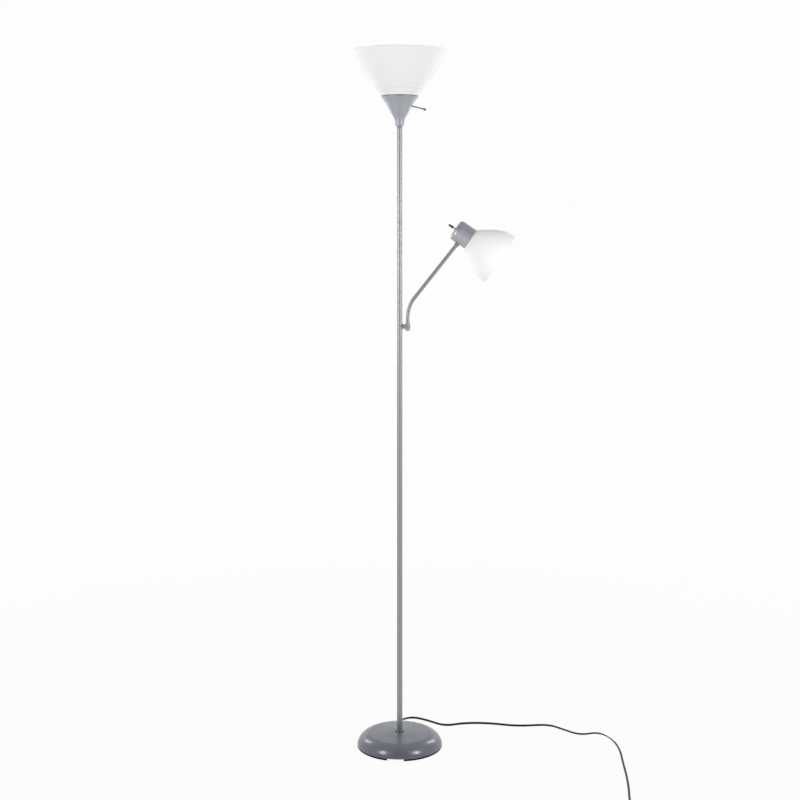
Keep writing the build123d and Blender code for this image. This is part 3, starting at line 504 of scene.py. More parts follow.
cordTie = pieceFrom("cordTie", [(tieBand(), True), (tieTail(-1), False), (tieTail(1), False)],
                    "stand", "tie_black", ["cord_tie"])

ringCentres * mm
print("cord made:", len(ringCentres), "rings,", round(distance[-1]), "mm")

base = {
    # radii and heights of the cover's corners, then the edging, the collar and the pad
    "hubHole": 5.2, "hub": (20, 37), "shoulder": (77, 34), "widest": (110, 7),
    "rim": (109.8, 5), "wall": 1,
    "collar": (11.6, 3), "stripInner": 105, "stripOuter": 109.4, "stripLeg": 107.6, "stripTop": 10,
    "stripLip": (0.4, 5), "stripEase": (0.6, 1.2, 0.2, 0.1, 0.5, 0.5), "floorGap": 0.02,
    "gap": 44, "turn": -6, "hubRound": 12, "collarRound": 2.2, "padRadius": 92, "padThick": 2,
    "padEase": (0.6, 0.3),
}


def baseCover():
    # a flat hub, a cone, one arc from the shoulder to the widest ring, and the same again a wall inside
    hub, shoulder, widest, rim = (np.array(base[key]) for key in ("hub", "shoulder", "widest", "rim"))
    top = rounded([(base["hubHole"], hub[1]), hub, shoulder], (0, base["hubRound"], 0), 9, closed=False)
    crown = arcFrom(shoulder, shoulder - hub, widest, 40)
    outline = np.concatenate([top, crown[1:], rim[None]])[::-1]
    return np.concatenate([outline, inside(outline, base["wall"])[::-1]])


def baseStrip(side):
    # the edging's section turned through the arc between the two gaps: radius * (cos(angle), sin(angle))
    reach = math.asin(base["gap"] / 2 / base["stripOuter"])
    inner, outer, leg, low = base["stripInner"], base["stripOuter"], base["stripLeg"], base["floorGap"]
    lip, lipTop = base["stripLip"]
    edge = rounded([(inner, low), (outer, low), (outer + lip, lipTop), (leg, lipTop), (leg, base["stripTop"]),
                    (inner, base["stripTop"])], base["stripEase"], 5)
    angle = np.linspace(-math.pi / 2 + reach, math.pi / 2 - reach, 90)[:, None] + math.radians(base["turn"])
    x, y = edge[None, :, 0] * np.cos(angle) * side, edge[None, :, 0] * np.sin(angle) * side
    return capped(np.stack([x, y, np.broadcast_to(edge[None, :, 1], x.shape)], axis=-1))


turnedPiece("baseCover", baseCover(), "stand", "base_paint", "base_cover", steps=160)
collarLow, collarHigh = base["hub"][1], base["hub"][1] + base["collar"][1]
collarCuts = (0, 0.2, base["collarRound"], 0.2)
collar = bandProfile(base["hubHole"], base["collar"][0], collarLow, collarHigh, collarCuts, 8)
turnedPiece("baseCollar", collar, "stand", "base_paint", "base_collar")
pieceFrom("baseEdgeStrips", [(baseStrip(side), False) for side in (-1, 1)], "stand", "edge_rubber",
          ["base_edge_strip"])
pad = bandProfile(0, base["padRadius"], base["floorGap"], base["padThick"], (0, *base["padEase"], 0))
turnedPiece("basePad", pad, "stand", "pad_rubber", "base_bottom_pad", steps=128)
print("base made")

pole = {"radius": 7.1, "bore": 6.2, "seams": (698, 1360), "low": 40, "top": 1607.5, "ease": 0.5}

levels = (pole["low"], *pole["seams"], pole["top"])
for name, low, high in zip(("lower", "middle", "upper"), levels, levels[1:]):
    tube = bandProfile(pole["bore"], pole["radius"], low, high, (0.1, pole["ease"], pole["ease"], 0.1))
    turnedPiece(f"pole{name.capitalize()}", dense(tube, 40), "stand", "pole_silver", f"pole_{name}_tube",
                steps=64)

arm = {"footX": 21, "radius": 4.75, "bore": 3.75, "low": 1092.5, "bendFrom": 1112, "bendRadius": 80,
       "reach": 208.3, "ferruleTop": 30.5, "ferruleLong": 5.5, "ferruleRadius": 6.25, "ferruleBore": 3,
       "ferruleBevel": (0.9, 1.4), "inFerrule": 4, "bite": 0.05, "footCap": (4.35, 24.6, 27.5)}
armAxis = armLine["axis"]
lean = math.asin(armAxis[0])


def armPath():
    # up, round a bend that leans it over, bendRadius * (1 - cos(turn), sin(turn)), and straight on
    rise = np.linspace(arm["low"], arm["bendFrom"], 6)
    straightUp = np.stack([np.full(6, arm["footX"]), np.zeros(6), rise], axis=1)
    turn = np.linspace(0, lean, 30)[1:]
    bend = np.stack([arm["footX"] + arm["bendRadius"] * (1 - np.cos(turn)), 0 * turn,
                     arm["bendFrom"] + arm["bendRadius"] * np.sin(turn)], axis=1)
    long = arm["reach"] - arm["ferruleTop"] - arm["ferruleLong"] + arm["inFerrule"]
    on = np.linspace(0, long, 24)[1:, None]
    return np.concatenate([straightUp, bend, bend[-1] + on * armAxis])


path = armPath()
outerSkin, innerSkin = (swept(path, (0, 1, 0), circle(arm[size], 40)) for size in ("radius", "bore"))
tube = np.concatenate([outerSkin, innerSkin[::-1]])
pieceFrom("armTube", [(tube, True)], "arm", "arm_silver", ["arm_tube"])

low, high = -(arm["ferruleTop"] + arm["ferruleLong"]), -arm["ferruleTop"]
outer, bore, tubeEnd = arm["ferruleRadius"], arm["ferruleBore"], low + arm["inFerrule"]
skin, (bevelIn, bevelUp) = arm["radius"] - arm["bite"], arm["ferruleBevel"]
ferrule = rounded([(skin, low), (outer - bevelIn, low), (outer, low + bevelUp), (outer, high), (bore, high),
                   (bore, tubeEnd), (skin, tubeEnd)], (0.1, 0.7, 0.8, 0.5, 0.1, 0.1, 0.1), 6)
turnedPiece("armFerrule", ferrule, "arm", "arm_silver", "arm_ferrule", armLine, 48)
footCap = bandProfile(0, *arm["footCap"], (0, 0, 0.8, 0), 6)
turnedPiece("armFootPlug", footCap, "arm", "arm_silver", "arm_foot_plug", spool, 40)
print("pole and arm made")

# what both heads hold: holder, ring, shade and bulb, measured from the cup's lip

holder = {"seat": -14, "top": 8}
shadeRing = {"inner": 18.55, "outer": 23, "tall": 7, "grips": 16, "gripDeep": 0.9, "gripTall": 6.2,
             "gripFrom": 21.5, "gripShare": 0.45}
shadeWall = 2
# radii of the shade's foot, and the heights of its step inside the cup's lip, outside and inside
shadeFoot = {"hole": 18.7, "outer": 25.2, "inner": 24.5, "step": (-1.2, 0.3), "innerStep": (-0.2, 2)}
# each shade's white is painted light: one plastic, painted darker on the torchiere and lighter on the reading
# head
shades = {
    "top": {"flank": [(48.4, 0.3), (83.2, 45.5), (110.5, 83.5), (128.3, 115.6)], "innerLip": 46.1,
            "where": topHead, "body": "stand", "kind": "torchiere", "globe": 30, "long": 108,
            "rings": (8, 15.8), "ringWide": 0.9, "ringDepth": 0.28, "ringShadeShare": 0.75, "white": 0.785},
    "reading": {"flank": [(28.8, 0.3), (47.6, 25), (62.3, 50), (70.3, 74), (71.2, 92)],
                "innerLip": 27.1, "where": readingHead, "body": "reading_head", "kind": "reading",
                "globe": 24, "long": 89, "rings": (5,), "ringWide": 0.9, "ringDepth": 0.22, "ringShadeShare": 0.3,
                "white": 0.965},
}


def shadeProfile(shade):
    # the flank outside, with shallow lines depth * exp(-(distance / width) ** 2); inside it, a wall away,
    # its partner; a round rim; a foot that goes into the cup
    outer = smoothThrough(shade["flank"], 90)
    inner = inside(outer, shadeWall)[6:]
    for level in shade["rings"]:
        line = shade["ringDepth"] * np.exp(-(((outer[:, 1] - level) / shade["ringWide"]) ** 2))
        outer = outer - [1, 0] * line[:, None]
    rim = arcFrom(outer[-1], outer[-1] - outer[-2], inner[-1], 10)[1:-1]
    lip, low, hole = shade["innerLip"], holder["seat"], shadeFoot["hole"]
    (stepLow, stepHigh), (innerLow, innerHigh) = shadeFoot["step"], shadeFoot["innerStep"]
    foot = rounded([inner[0], (lip - shadeWall, innerHigh), (lip - shadeWall, innerLow),
                    (shadeFoot["inner"], low + shadeWall), (hole, low + shadeWall), (hole, low),
                    (shadeFoot["outer"], low), (lip, stepLow), (lip, stepHigh), outer[0]],
                   (0, 1, 1.5, 1.5, 0.3, 0.3, 2, 1, 0.1, 0), closed=False)
    return np.concatenate([outer, rim, inner[::-1], foot[1:-1]])


bulb = {"tip": -15.9, "neck": 13.6, "neckLong": 8, "neckRound": 6, "foot": 13.2, "glass": 1, "cap": 13,
        # radius, distance from the tip and rounding of the cap's first corners
        "capTip": [(0, 0, 0), (4.2, 0.1, 1), (4.8, 1, 0.5), (9, 3, 1), (13, 6, 1)],
        "capEdge": 0.4, "threadFrom": 7.5, "threadTo": 2, "threadPitch": 3.6, "threadDeep": 0.9}


def bulbProfile(shade):
    # a neck, a straight flank that meets the globe's circle, and the globe
    globe, long = shade["globe"], shade["long"]
    middle = bulb["tip"] + long - globe
    foot, neck = (bulb["foot"], holder["top"]), (bulb["neck"], holder["top"] + bulb["neckLong"])
    reach = math.hypot(neck[0], middle - neck[1])
    touch = math.atan2(neck[1] - middle, neck[0]) + math.acos(globe / reach)
    angle = np.linspace(touch, math.pi / 2, 40)
    dome = np.stack([globe * np.cos(angle), middle + globe * np.sin(angle)], axis=1)
    flank = rounded([foot, neck, dome[0]], (0, bulb["neckRound"], 0), 9, closed=False)
    return np.concatenate([flank[:-1], dome])


def capProfile():
    # the tip's corners, a straight side and a flat top under the glass
    radii, heights, cuts = np.array(bulb["capTip"]).T
    top = holder["top"]
    corners = [*zip(radii, bulb["tip"] + heights), (bulb["cap"], top - bulb["capEdge"]),
               (bulb["foot"], top), (0, top)]
    return dense(rounded(corners, (*cuts, 0.4, 0.2, 0), closed=False), 0.4)


def ringSurface(where):
    # a square ring; its outside has shallow hollows: depth * clip(cos(16 * angle) - (1 - share)) / share
    foot, share = holder["seat"] + shadeWall, shadeRing["gripShare"]
    edge = dense(bandProfile(shadeRing["inner"], shadeRing["outer"], foot, foot + shadeRing["tall"],
                             (0.3, 0.5, 0.9, 0.4), 5), 0.6)

    def hollows(angle, height):
        outside = (edge[:, 0] > shadeRing["gripFrom"])[:, None] & (height < foot + shadeRing["gripTall"])
        deep = np.clip(np.cos(shadeRing["grips"] * angle) - (1 - share), 0, 1) / share
        return -shadeRing["gripDeep"] * deep * outside
    return turned(edge, where, 192, hollows)


capThread = thread(bulb["threadPitch"], bulb["threadDeep"], bulb["tip"] + bulb["threadFrom"],
                   holder["top"] - bulb["threadTo"])
for name, shade in shades.items():
    where, body, kind = shade["where"], shade["body"], shade["kind"]
    turnedPiece(f"{kind}Shade", shadeProfile(shade), body, "frosted_shade", f"{kind}_shade", where, 160,
                sharp=50)

    outer = bulbProfile(shade)
    skin = inside(outer, bulb["glass"])
    skin[-1, 0] = 0
    glass = np.concatenate([outer[::-1], skin])
    turnedPiece(f"{name}BulbGlass", glass, body, "bulb_glass", f"{name}_bulb_glass", where, 72, sharp=60)
    turnedPiece(f"{name}BulbCap", capProfile(), body, "bulb_cap", f"{name}_bulb_base", where, 72, capThread)
    pieceFrom(f"{name}ShadeRing", [(ringSurface(where), True)], body, "ring_white", [f"{name}_shade_ring"])

print("shades, bulbs and rings made")

cupTop = {"trumpet": [(10.7, 1609.3), (13.2, 1624.5), (22.2, 1641.5), (34, 1663.6), (47.5, 1683.4)],
          "lip": cupLip, "wall": 1, "floor": pole["top"], "hole": 5.2,
          "neckTurn": (2.1, 1.7), "lipRound": (0.8, 0.45), "footRound": (0.2, 1.2)}


def trumpetProfile():
    # a spline flank and its wall, joined by a straight band at the lip and a flat floor with a hole
    lip, wall, floor = cupTop["lip"], cupTop["wall"], cupTop["floor"]
    innerTurn, outerTurn = cupTop["neckTurn"]
    corner, edge = cupTop["lipRound"]
    holeEdge, footEdge = cupTop["footRound"]
    outer = smoothThrough(cupTop["trumpet"], 60)
    radius = outer[-1, 0]
    inner = inside(outer, wall)
    band = rounded([outer[-2], outer[-1], (radius, lip), (radius - wall, lip), inner[-1], inner[-2]],
                   (0, corner, edge, edge, corner, 0), 5, closed=False)
    hole, foot = cupTop["hole"], outer[0, 0]
    bottom = rounded([inner[1], inner[0], (foot - innerTurn, floor + wall), (hole, floor + wall),
                      (hole, floor), (foot - outerTurn, floor), outer[0], outer[1]],
                     (0, 0.5, 0.5, holeEdge, holeEdge, footEdge, corner, 0), 5, closed=False)
    return np.concatenate([outer[1:-1], band[1:-1], inner[-2:0:-1], bottom[1:-1]])


turnedPiece("torchiereCup", trumpetProfile(), "stand", "cup_silver", "torchiere_cup", steps=128, sharp=45)

cupReading = {"radius": 28.5, "long": 47.4, "round": 10.5, "innerRound": 9.9, "wall": 1, "hole": 2.7}


def cupProfile():
    # a drawn cup's outline: a floor with a hole, a round corner and a straight side, and a wall inside them
    radius, long, wall = cupReading["radius"], cupReading["long"], cupReading["wall"]
    corners = [(cupReading["hole"], -long), (radius, -long), (radius, 0), (radius - wall, 0),
               (radius - wall, wall - long), (cupReading["hole"], wall - long)]
    return rounded(corners, (0.2, cupReading["round"], 0.4, 0.4, cupReading["innerRound"], 0.2), 14)


turnedPiece("readingCup", cupProfile(), "reading_head", "cup_silver", "reading_cup", readingHead, 128,
            sharp=45)

screws = {"apart": 24, "radius": 2.7, "height": 1.7, "curve": (0.75, 2.4), "shank": 1.5, "long": 8,
          "slot": 0.42, "deep": 0.9, "slotReach": 1.6, "slotFade": 0.5}


def screwHead(side):
    # a domed head, height * sqrt(1 - curve * (r / radius) ** power), with a cross-shaped recess pressed
    # into it, and a plain shank inside the cup
    ring = np.linspace(0, 1, 22)[:, None]
    angle = allRound(72)
    x, y = screws["radius"] * ring * np.cos(angle), screws["radius"] * ring * np.sin(angle)
    arms = np.minimum(np.abs(x), np.abs(y)) < screws["slot"]
    fade, (curve, power) = screws["slotFade"], screws["curve"]
    recess = screws["deep"] * arms * np.clip(screws["slotReach"] - np.hypot(x, y), 0, fade) / fade
    dome = screws["height"] * np.sqrt(np.clip(1 - curve * ring**power, 0, 1)) - recess
    back, end = -cupReading["long"], screws["long"] - cupReading["long"]
    radii = np.array([screws["radius"], screws["shank"], screws["shank"], 0])[:, None]
    x = np.concatenate([x, radii * np.cos(angle)])
    y = np.concatenate([y, radii * np.sin(angle)]) + side * screws["apart"] / 2
    z = np.concatenate([back - dome, np.array([back, back, end, end])[:, None] * np.ones_like(angle)])
    return inPlace(readingHead, x, y, z)


pieceFrom("readingScrews", [(screwHead(side), False) for side in (-1, 1)], "reading_head", "plated_steel",
          ["reading_holder_screws"])
print("cups made")

rod = {"radius": 1.65, "back": -54.6, "front": -4.4, "ball": 3.5, "neckAngle": 0.64, "collar": 2.1,
       "collarFrom": -4.6, "collarEdge": 0.3, "step": 0.1}
rodProfile = bandProfile(0, rod["radius"], rod["back"], rod["front"], (0, 0.4, 0.1, 0))
turnedPiece("switchRod", dense(rodProfile, 6), "top_switch", "bronze", "top_switch_rod", switchRod, 24)


def ballProfile():
    # a ball, radius * (cos, sin), whose back runs out in a short collar over the rod
    angle = np.linspace(-math.pi / 2 + rod["neckAngle"], math.pi / 2, 30)
    ball = rod["ball"] * np.stack([np.cos(angle), np.sin(angle)], axis=1)
    radius, low, edge = rod["collar"], rod["collarFrom"], rod["collarEdge"]
    collar = [(0, low), (radius - edge, low), (radius, low + edge), (radius, ball[0, 1] - rod["step"])]
    return np.concatenate([collar, ball])


turnedPiece("switchBall", ballProfile(), "top_switch", "bronze", "top_switch_ball", switchRod, 40)

key = {"stem": 2.5, "stemFrom": -57, "stemTo": -36.2,
       # distance from the cup's lip, width, thickness and squareness of each cross-section
       "stations": [(-54.5, 6.2, 6.2, 2), (-55.1, 7.2, 7.2, 2), (-57, 7.2, 7.2, 2),
                    (-58, 7.8, 6, 2.4), (-59.4, 9, 5.4, 3), (-63, 9.5, 5.4, 3.4),
                    (-66.6, 9.4, 5, 3.4), (-67.4, 8.2, 4, 3)]}
stem = bandProfile(0, key["stem"], key["stemFrom"], key["stemTo"], (0, 0.3, 0.3, 0))
turnedPiece("keyStem", dense(stem, 2), "reading_switch", "plated_steel", "reading_switch_stem", readingHead,
            40)


def keyBody():
    # rounded rectangles stacked along the switch's axis, their sizes straight between the stations
    at, (wide, thick, power) = alongStations(key["stations"][::-1], 60)
    side, across = np.moveaxis(squircle(wide, thick, power, 48), -1, 0)
    return capped(inPlace(readingHead, across, side, at[:, None] * np.ones_like(side)))


pieceFrom("switchKey", [(keyBody(), False)], "reading_switch", "key_black", ["reading_switch_key"], sharp=50)
print("switches made")


class Wire:
    # an output socket; adding, subtracting, multiplying or dividing it adds a Math node

    def __init__(self, paint, socket):
        self.paint = paint
        self.socket = socket

    def __add__(self, other):
        return self.paint.maths("ADD", self, other)

    def __sub__(self, other):
        return self.paint.maths("SUBTRACT", self, other)

    def __rsub__(self, other):
        return self.paint.maths("SUBTRACT", other, self)

    def __mul__(self, other):
        return self.paint.maths("MULTIPLY", self, other)

    def __truediv__(self, other):
        return self.paint.maths("DIVIDE", self, other)

    def __rtruediv__(self, other):
        return self.paint.maths("DIVIDE", other, self)

    __radd__, __rmul__ = __add__, __mul__


class Paint:
    # the nodes of a material or the world, and the one method that adds to them

    def __init__(self, owner):
        owner.use_nodes = True
        self.owner = owner
        self.tree = owner.node_tree
        self.tree.nodes.clear()

    def node(self, kind, settings=None, values=None, output=0):
        node = self.tree.nodes.new(f"ShaderNode{kind}")
        for name, setting in (settings or {}).items():
            setattr(node, name, setting)
        for name, value in (values or {}).items():
            if isinstance(value, Wire):
                self.tree.links.new(value.socket, node.inputs[name])
            else:
                node.inputs[name].default_value = value
        return Wire(self, node.outputs[output]) if len(node.outputs) else node

    def maths(self, operation, first, second):
        return self.node("Math", {"operation": operation}, {0: first, 1: second})

    def objectPlace(self):
        return self.node("TexCoord", output="Object")

    def noise(self, scale, detail=2, roughness=0.5, at=None):
        values = {"Scale": scale, "Detail": detail, "Roughness": roughness}
        return self.node("TexNoise", {}, {"Vector": at or self.objectPlace(), **values})

    def stretched(self, scale):
        # the object's own coordinates, scaled differently along each axis
        return self.node("Mapping", {}, {"Vector": self.objectPlace(), "Scale": scale})

    def ease(self, value, low, high, start=0, end=1):
        # start below low, end above high, and a smooth step between
        values = {"Value": value, "From Min": low, "From Max": high, "To Min": start, "To Max": end}
        return self.node("MapRange", {"interpolation_type": "SMOOTHSTEP"}, values)

    def blend(self, share, first, second):
        first, second = ((*c, 1) if isinstance(c, tuple) else c for c in (first, second))
        return self.node("Mix", {"data_type": "RGBA"}, {0: share, 6: first, 7: second}, output=2)

    def along(self, where):
        # millimetres along a piece's axis, from its origin
        dot = self.node("VectorMath", {"operation": "DOT_PRODUCT"},
                        {0: self.objectPlace(), 1: tuple(where["axis"])}, output="Value")
        return dot / mm - float(where["origin"] @ where["axis"])

    def bump(self, height, strength, distance=0.0005):
        return self.node("Bump", {}, {"Strength": strength, "Distance": distance, "Height": height})

    def seen(self):
        # 1 for the camera's rays and for those that reflect off a piece or pass through it
        camera, glossy, passing = (self.node("LightPath", output=f"Is {kind} Ray")
                                   for kind in ("Camera", "Glossy", "Transmission"))
        return 1 - (1 - camera) * (1 - glossy) * (1 - passing)

    def surface(self, colour, roughness, normal, values):
        values = {"Base Color": colour, "Roughness": roughness, "Normal": normal, **values}
        shader = self.node("BsdfPrincipled", {}, values)
        self.node("OutputMaterial", {}, {"Surface": shader})
        return self.owner


def newPaint(name):
    return Paint(bpy.data.materials.new(name))


def glossyPaint():
    # stove enamel over steel: a faint orange peel under a clear coat, cloudy where dust has dried on it
    look = {"light": (0.148, 0.163, 0.192), "dark": (0.132, 0.145, 0.171), "speck": (0.25, 0.26, 0.28),
            "speckShare": 0.25, "peel": 700, "roughness": 0.34}
    paint = newPaint("greyEnamel")
    cloud = paint.noise(28, 3)
    dust = paint.ease(paint.noise(90, 5, 0.65), 0.45, 0.75)
    speck = paint.ease(paint.noise(1500, 2), 0.66, 0.72)
    colour = paint.blend(cloud, look["dark"], look["light"])
    colour = paint.blend(speck * look["speckShare"], colour, look["speck"])
    return paint.surface(
        colour, look["roughness"] + 0.10 * dust,
        paint.bump(paint.noise(look["peel"], 2), 0.006, 0.0004),
        {"Metallic": 0.25, "Coat Weight": 0.5 - 0.1 * dust, "Coat Roughness": 0.1},
    )


def silverPaint(name, tint, dark, roughness, coat, lip=None):
    # metallic lacquer: fine flakes that glint, drawn-tube streaks along the height, and a thin lacquer;
    # lip gives a band of painted shade below an edge, from its place, its two heights and its share
    paint = newPaint(name)
    streak = paint.noise(1, 3, at=paint.stretched((420, 420, 9)))
    flake = paint.noise(1900, 1)
    rub = paint.ease(paint.noise(14, 4, 0.6), 0.5, 0.72)
    colour = paint.blend(streak * 0.5 + flake * 0.5, dark, tint)
    if lip:
        where, low, high, share = lip
        # painted shade: the band below the edge is blended towards a dark grey
        colour = paint.blend(paint.ease(paint.along(where), low, high) * share, colour, (0.12, 0.125, 0.14))
    return paint.surface(
        colour, roughness + 0.05 * streak + 0.06 * rub,
        paint.bump(streak, 0.008, 0.0003), {"Metallic": 0.72, "Coat Weight": coat, "Coat Roughness": 0.12},
    )


def frostedShade(name, where, shade):
    # moulded white plastic, matt outside, with flow clouds; painted shade: a bluish grey band just above the
    # cup for the cup's shade and reflection, and a fine darker line at each mould step
    # painted light: white differs per head, a shaded copy on the torchiere and a lit copy on the reading head
    white = shade["white"]
    look = {"white": (white, white, white), "cloud": (white - 0.012, white - 0.010, white - 0.008),
            "cupShade": (0.76, 0.785, 0.82), "cupShadeTo": (0.5, 13), "cupShadeShare": 0.35,
            "line": (0.62, 0.63, 0.66), "lineHalf": 1.1}
    paint = newPaint(name)
    out = paint.along(where)
    # painted shade: bluish grey near the cup, fading out above it
    cupShadeMask = paint.ease(out, *look["cupShadeTo"], 1, 0)
    flow = paint.noise(16, 3)
    colour = paint.blend(flow, look["cloud"], look["white"])
    colour = paint.blend(cupShadeMask * look["cupShadeShare"], colour, look["cupShade"])
    # painted shade: a fine darker line at each mould step, where the groove's shade falls
    for level in shade["rings"]:
        width = look["lineHalf"]
        line = paint.ease(out, level - width, level) * paint.ease(out, level, level + width, 1, 0)
        colour = paint.blend(line * shade["ringShadeShare"], colour, look["line"])
    grain = paint.noise(1800, 2)
    return paint.surface(
        colour, 0.52 + 0.10 * flow,
        paint.bump(grain, 0.06, 0.0003),
        {"Subsurface Weight": 0.3, "Subsurface Radius": (0.9, 0.9, 1), "Subsurface Scale": 0.012,
         "Specular IOR Level": 0.22},
    )


def plainPlastic(name, colour, lighter, roughness, grain, strength=0.1, sheen=0.5):
    # moulded plastic or rubber: a fine grain, and a little paler where it is rubbed
    paint = newPaint(name)
    rub = paint.ease(paint.noise(60, 4, 0.6), 0.5, 0.8)
    return paint.surface(
        paint.blend(rub, colour, lighter), roughness + 0.12 * rub,
        paint.bump(paint.noise(grain, 3), strength, 0.0004), {"Specular IOR Level": sheen},
    )


def bareMetal(name, colour, stain, roughness):
    # plated or solid metal: turning marks, and stains where it has dulled
    paint = newPaint(name)
    mark = paint.noise(1, 3, at=paint.stretched((900, 900, 60)))
    dull = paint.ease(paint.noise(120, 4, 0.6), 0.45, 0.7)
    return paint.surface(
        paint.blend(dull, colour, stain), roughness + 0.16 * dull + 0.06 * mark,
        paint.bump(mark, 0.06, 0.0002), {"Metallic": 1 - 0.15 * dull},
    )


def frostedGlass(name):
    # a lamp's etched glass: even white powder inside, a soft gloss outside
    paint = newPaint(name)
    cloud = paint.noise(50, 3)
    return paint.surface(
        paint.blend(cloud, (0.83, 0.83, 0.82), (0.87, 0.87, 0.86)), 0.28 + 0.08 * cloud,
        paint.bump(paint.noise(1300, 2), 0.03, 0.0002),
        {"Subsurface Weight": 0.4, "Subsurface Radius": (1, 1, 1), "Subsurface Scale": 0.004},
    )


def bulbCapMetal(name, where):
    # bare aluminium, with a black glass ring between two distances from its tip
    look = {"ringFrom": (0.9, 1.1), "ringTo": (4.6, 5)}
    paint = newPaint(name)
    out = paint.along(where) - bulb["tip"]
    glass = paint.ease(out, *look["ringFrom"]) * paint.ease(out, *look["ringTo"], 1, 0)
    mark = paint.noise(400, 3)
    metal = paint.blend(mark, (0.62, 0.60, 0.56), (0.74, 0.72, 0.68))
    return paint.surface(
        paint.blend(glass, metal, (0.012, 0.012, 0.014)), 0.30 + 0.12 * mark - 0.18 * glass,
        paint.bump(mark, 0.05, 0.0002), {"Metallic": 1 - glass},
    )


def castCement():
    # grit of two greys, with pores pressed into it
    paint = newPaint("castCement")
    grit = paint.noise(420, 6, 0.7)
    pores = paint.ease(paint.noise(180, 2), 0.62, 0.7)
    return paint.surface(
        paint.blend(grit, (0.20, 0.19, 0.18), (0.42, 0.41, 0.39)), 0.85 + 0.1 * grit,
        paint.bump(grit - pores, 0.5, 0.001), {},
    )


def foamPad():
    # closed-cell foam: round cells from a Voronoi pattern
    paint = newPaint("foamPad")
    cell = paint.node("TexVoronoi", {}, {"Vector": paint.objectPlace(), "Scale": 900}, "Distance")
    scuff = paint.ease(paint.noise(40, 5, 0.65), 0.5, 0.75)
    return paint.surface(
        paint.blend(scuff, (0.020, 0.020, 0.021), (0.07, 0.068, 0.065)), 0.85 + 0.1 * scuff,
        paint.bump(cell, 0.35, 0.0004), {},
    )


materials = {
    "base_paint": glossyPaint(),
    "cement": castCement(),
    "pad_rubber": foamPad(),
    "edge_rubber": plainPlastic("edgeRubber", (0.006, 0.006, 0.006), (0.018, 0.017, 0.016), 0.6, 500, 0.2,
                                0.2),
    "pole_silver": silverPaint("poleLacquer", (0.320, 0.336, 0.366), (0.300, 0.314, 0.343), 0.40, 0),
    "arm_silver": silverPaint("armLacquer", (0.306, 0.306, 0.319), (0.264, 0.264, 0.272), 0.42, 0.1),
    "cup_silver": silverPaint("cupLacquer", (0.415, 0.428, 0.468), (0.380, 0.393, 0.430), 0.36, 0.05),
    "plated_steel": bareMetal("zincPlate", (0.56, 0.56, 0.55), (0.42, 0.41, 0.38), 0.30),
    "holder_black": plainPlastic("phenolic", (0.014, 0.013, 0.012), (0.030, 0.028, 0.026), 0.35, 700),
    "ring_white": plainPlastic("ringPlastic", (0.72, 0.72, 0.70), (0.66, 0.66, 0.63), 0.38, 800),
    "brass": bareMetal("brassSheet", (0.62, 0.46, 0.20), (0.42, 0.30, 0.14), 0.26),
    "bronze": bareMetal("antiqueBrass", (0.22, 0.165, 0.10), (0.10, 0.075, 0.05), 0.34),
    "bulb_glass": frostedGlass("etchedGlass"),
    "key_black": plainPlastic("keyPlastic", (0.010, 0.010, 0.010), (0.022, 0.022, 0.022), 0.32, 900),
    "wire_black": plainPlastic("wireVinyl", (0.014, 0.014, 0.014), (0.03, 0.03, 0.03), 0.5, 900),
    "cord_black": plainPlastic("cordVinyl", (0.008, 0.007, 0.006), (0.018, 0.016, 0.014), 0.42, 900, 0.1,
                               0.3),
    "tie_black": plainPlastic("tieVinyl", (0.018, 0.018, 0.018), (0.05, 0.05, 0.05), 0.45, 700),
}
perHead = {
    # painted shade: the upper cup's silver is a darker copy of the cups' silver, with painted shade on the
    # band below its lip
    "torchiereCup": silverPaint("trumpetLacquer", (0.355, 0.366, 0.400), (0.325, 0.336, 0.368), 0.5, 0,
                                (topHead, -4.6, -3.2, 0.35)),
    "torchiereShade": frostedShade("torchiereFrost", topHead, shades["top"]),
    "readingShade": frostedShade("readingFrost", readingHead, shades["reading"]),
    "topBulbCap": bulbCapMetal("topCapMetal", topHead),
    "readingBulbCap": bulbCapMetal("readingCapMetal", readingHead),
}
nodeSlots = {row["node"]: row["material_slot"] for row in frame["record"]["subparts"]}
materials["frosted_shade"] = perHead["torchiereShade"]
materials["bulb_cap"] = perHead["topBulbCap"]
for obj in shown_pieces():
    slotName = obj.get("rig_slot") or nodeSlots[obj["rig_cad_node"]]
    material = perHead.get(obj.name, materials[slotName])
    obj.data.materials.clear()
    obj.data.materials.append(material)
print("materials made:", len(bpy.data.materials))

stage = {
    "white": 0.985, "floorDrop": 0.0004, "floorHalf": 30, "shadowShare": 0.06, "shadowReach": (0.8, 2.2),
    "floorDim": 0.5, "dimReach": (0, 4.5), "matt": 0.9,
    # the backdrop's strength, and its share in front and above, with where each begins and ends
    "worldStrength": 0.92, "frontDark": 0.29, "front": (-0.75, 0.15), "aboveDark": 0.62, "above": (0.2, 0.75),
    "lights": [
        # name, place, width, height, power
        ("frontLeft", (-1.36, -1.07, 1.36), 0.42, 0.78, 13),
        ("frontRight", (1.36, -1.07, 1.36), 0.42, 0.78, 13),
        ("backLeft", (-1.23, 1.28, 1.26), 0.42, 0.7, 5.5),
        ("backRight", (1.24, 1.26, 1.26), 0.42, 0.7, 5.5),
    ],
    "aim": (0, 0, 0.9),
}


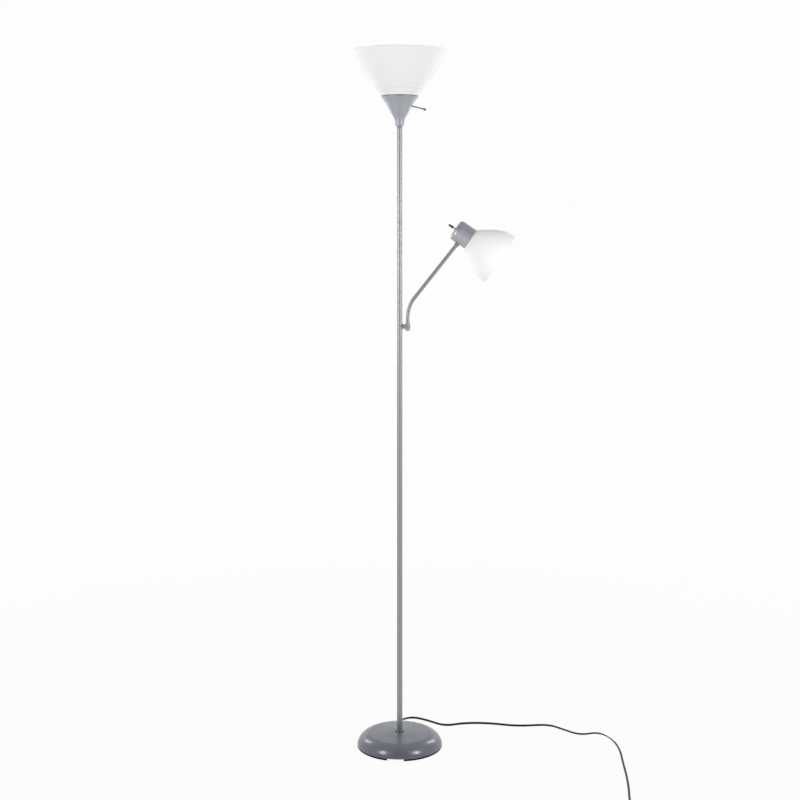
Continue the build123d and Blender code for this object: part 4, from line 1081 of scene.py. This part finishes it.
def makeFloor():
    # the camera sees it white, with a small matt share near the lamp that takes the shadow; the light
    # it gives the lamp is dimmer near the base
    half, z = stage["floorHalf"], -stage["floorDrop"]
    mesh = bpy.data.meshes.new("floor")
    corners = [(-half, -half, z), (half, -half, z), (half, half, z), (-half, half, z)]
    mesh.from_pydata(corners, [], [(0, 1, 2, 3)])
    floor = bpy.data.objects.new("floor", mesh)
    scene.collection.objects.link(floor)
    paint = newPaint("paleFloor")
    away = paint.node("VectorMath", {"operation": "LENGTH"}, {0: paint.objectPlace()}, "Value")
    near = paint.ease(away, *stage["shadowReach"], 1, 0)
    dimmed = (1 - paint.seen()) * paint.ease(away, *stage["dimReach"], 1, 0) * stage["floorDim"]
    strength = (1 - dimmed) * stage["white"]
    glow = paint.node("Emission", {}, {"Color": (1, 1, 1, 1), "Strength": strength})
    matt = paint.node("BsdfDiffuse", {}, {"Color": (*[stage["matt"]] * 3, 1)})
    shader = paint.node("MixShader", {}, {0: 1 - stage["shadowShare"] * near, 1: matt, 2: glow})
    paint.node("OutputMaterial", {}, {"Surface": shader})
    floor.data.materials.append(paint.owner)


def makeWorld():
    # white all round for the camera; for the light, white behind and beside the lamp, dim in front and above
    scene.world = bpy.data.worlds.new("studio")
    paint = Paint(scene.world)
    direction = paint.node("TexCoord", output="Generated")
    ahead, above = (paint.node("SeparateXYZ", {}, {"Vector": direction}, name) for name in "YZ")
    around = paint.ease(ahead, *stage["front"], stage["frontDark"], 1) * stage["worldStrength"]
    around = around * paint.ease(above, *stage["above"], 1, stage["aboveDark"])
    isCamera = paint.node("LightPath", output="Is Camera Ray")
    strength = isCamera * stage["white"] + (1 - isCamera) * around
    glow = paint.node("Background", {}, {"Color": (1, 1, 1, 1), "Strength": strength})
    paint.node("OutputWorld", {}, {"Surface": glow})


def makeLights():
    # two tall soft boxes in front and two behind, all turned to the middle of the lamp
    for name, at, width, height, power in stage["lights"]:
        data = bpy.data.lights.new(name, "AREA")
        data.shape = "RECTANGLE"
        data.size, data.size_y, data.energy = width, height, power
        light = bpy.data.objects.new(name, data)
        light.location = at
        away = light.location - type(light.location)(stage["aim"])
        light.rotation_euler = away.to_track_quat("Z", "Y").to_euler()
        scene.collection.objects.link(light)


makeFloor()
makeWorld()
makeLights()
scene.view_settings.view_transform = "Standard"
print("stage made")
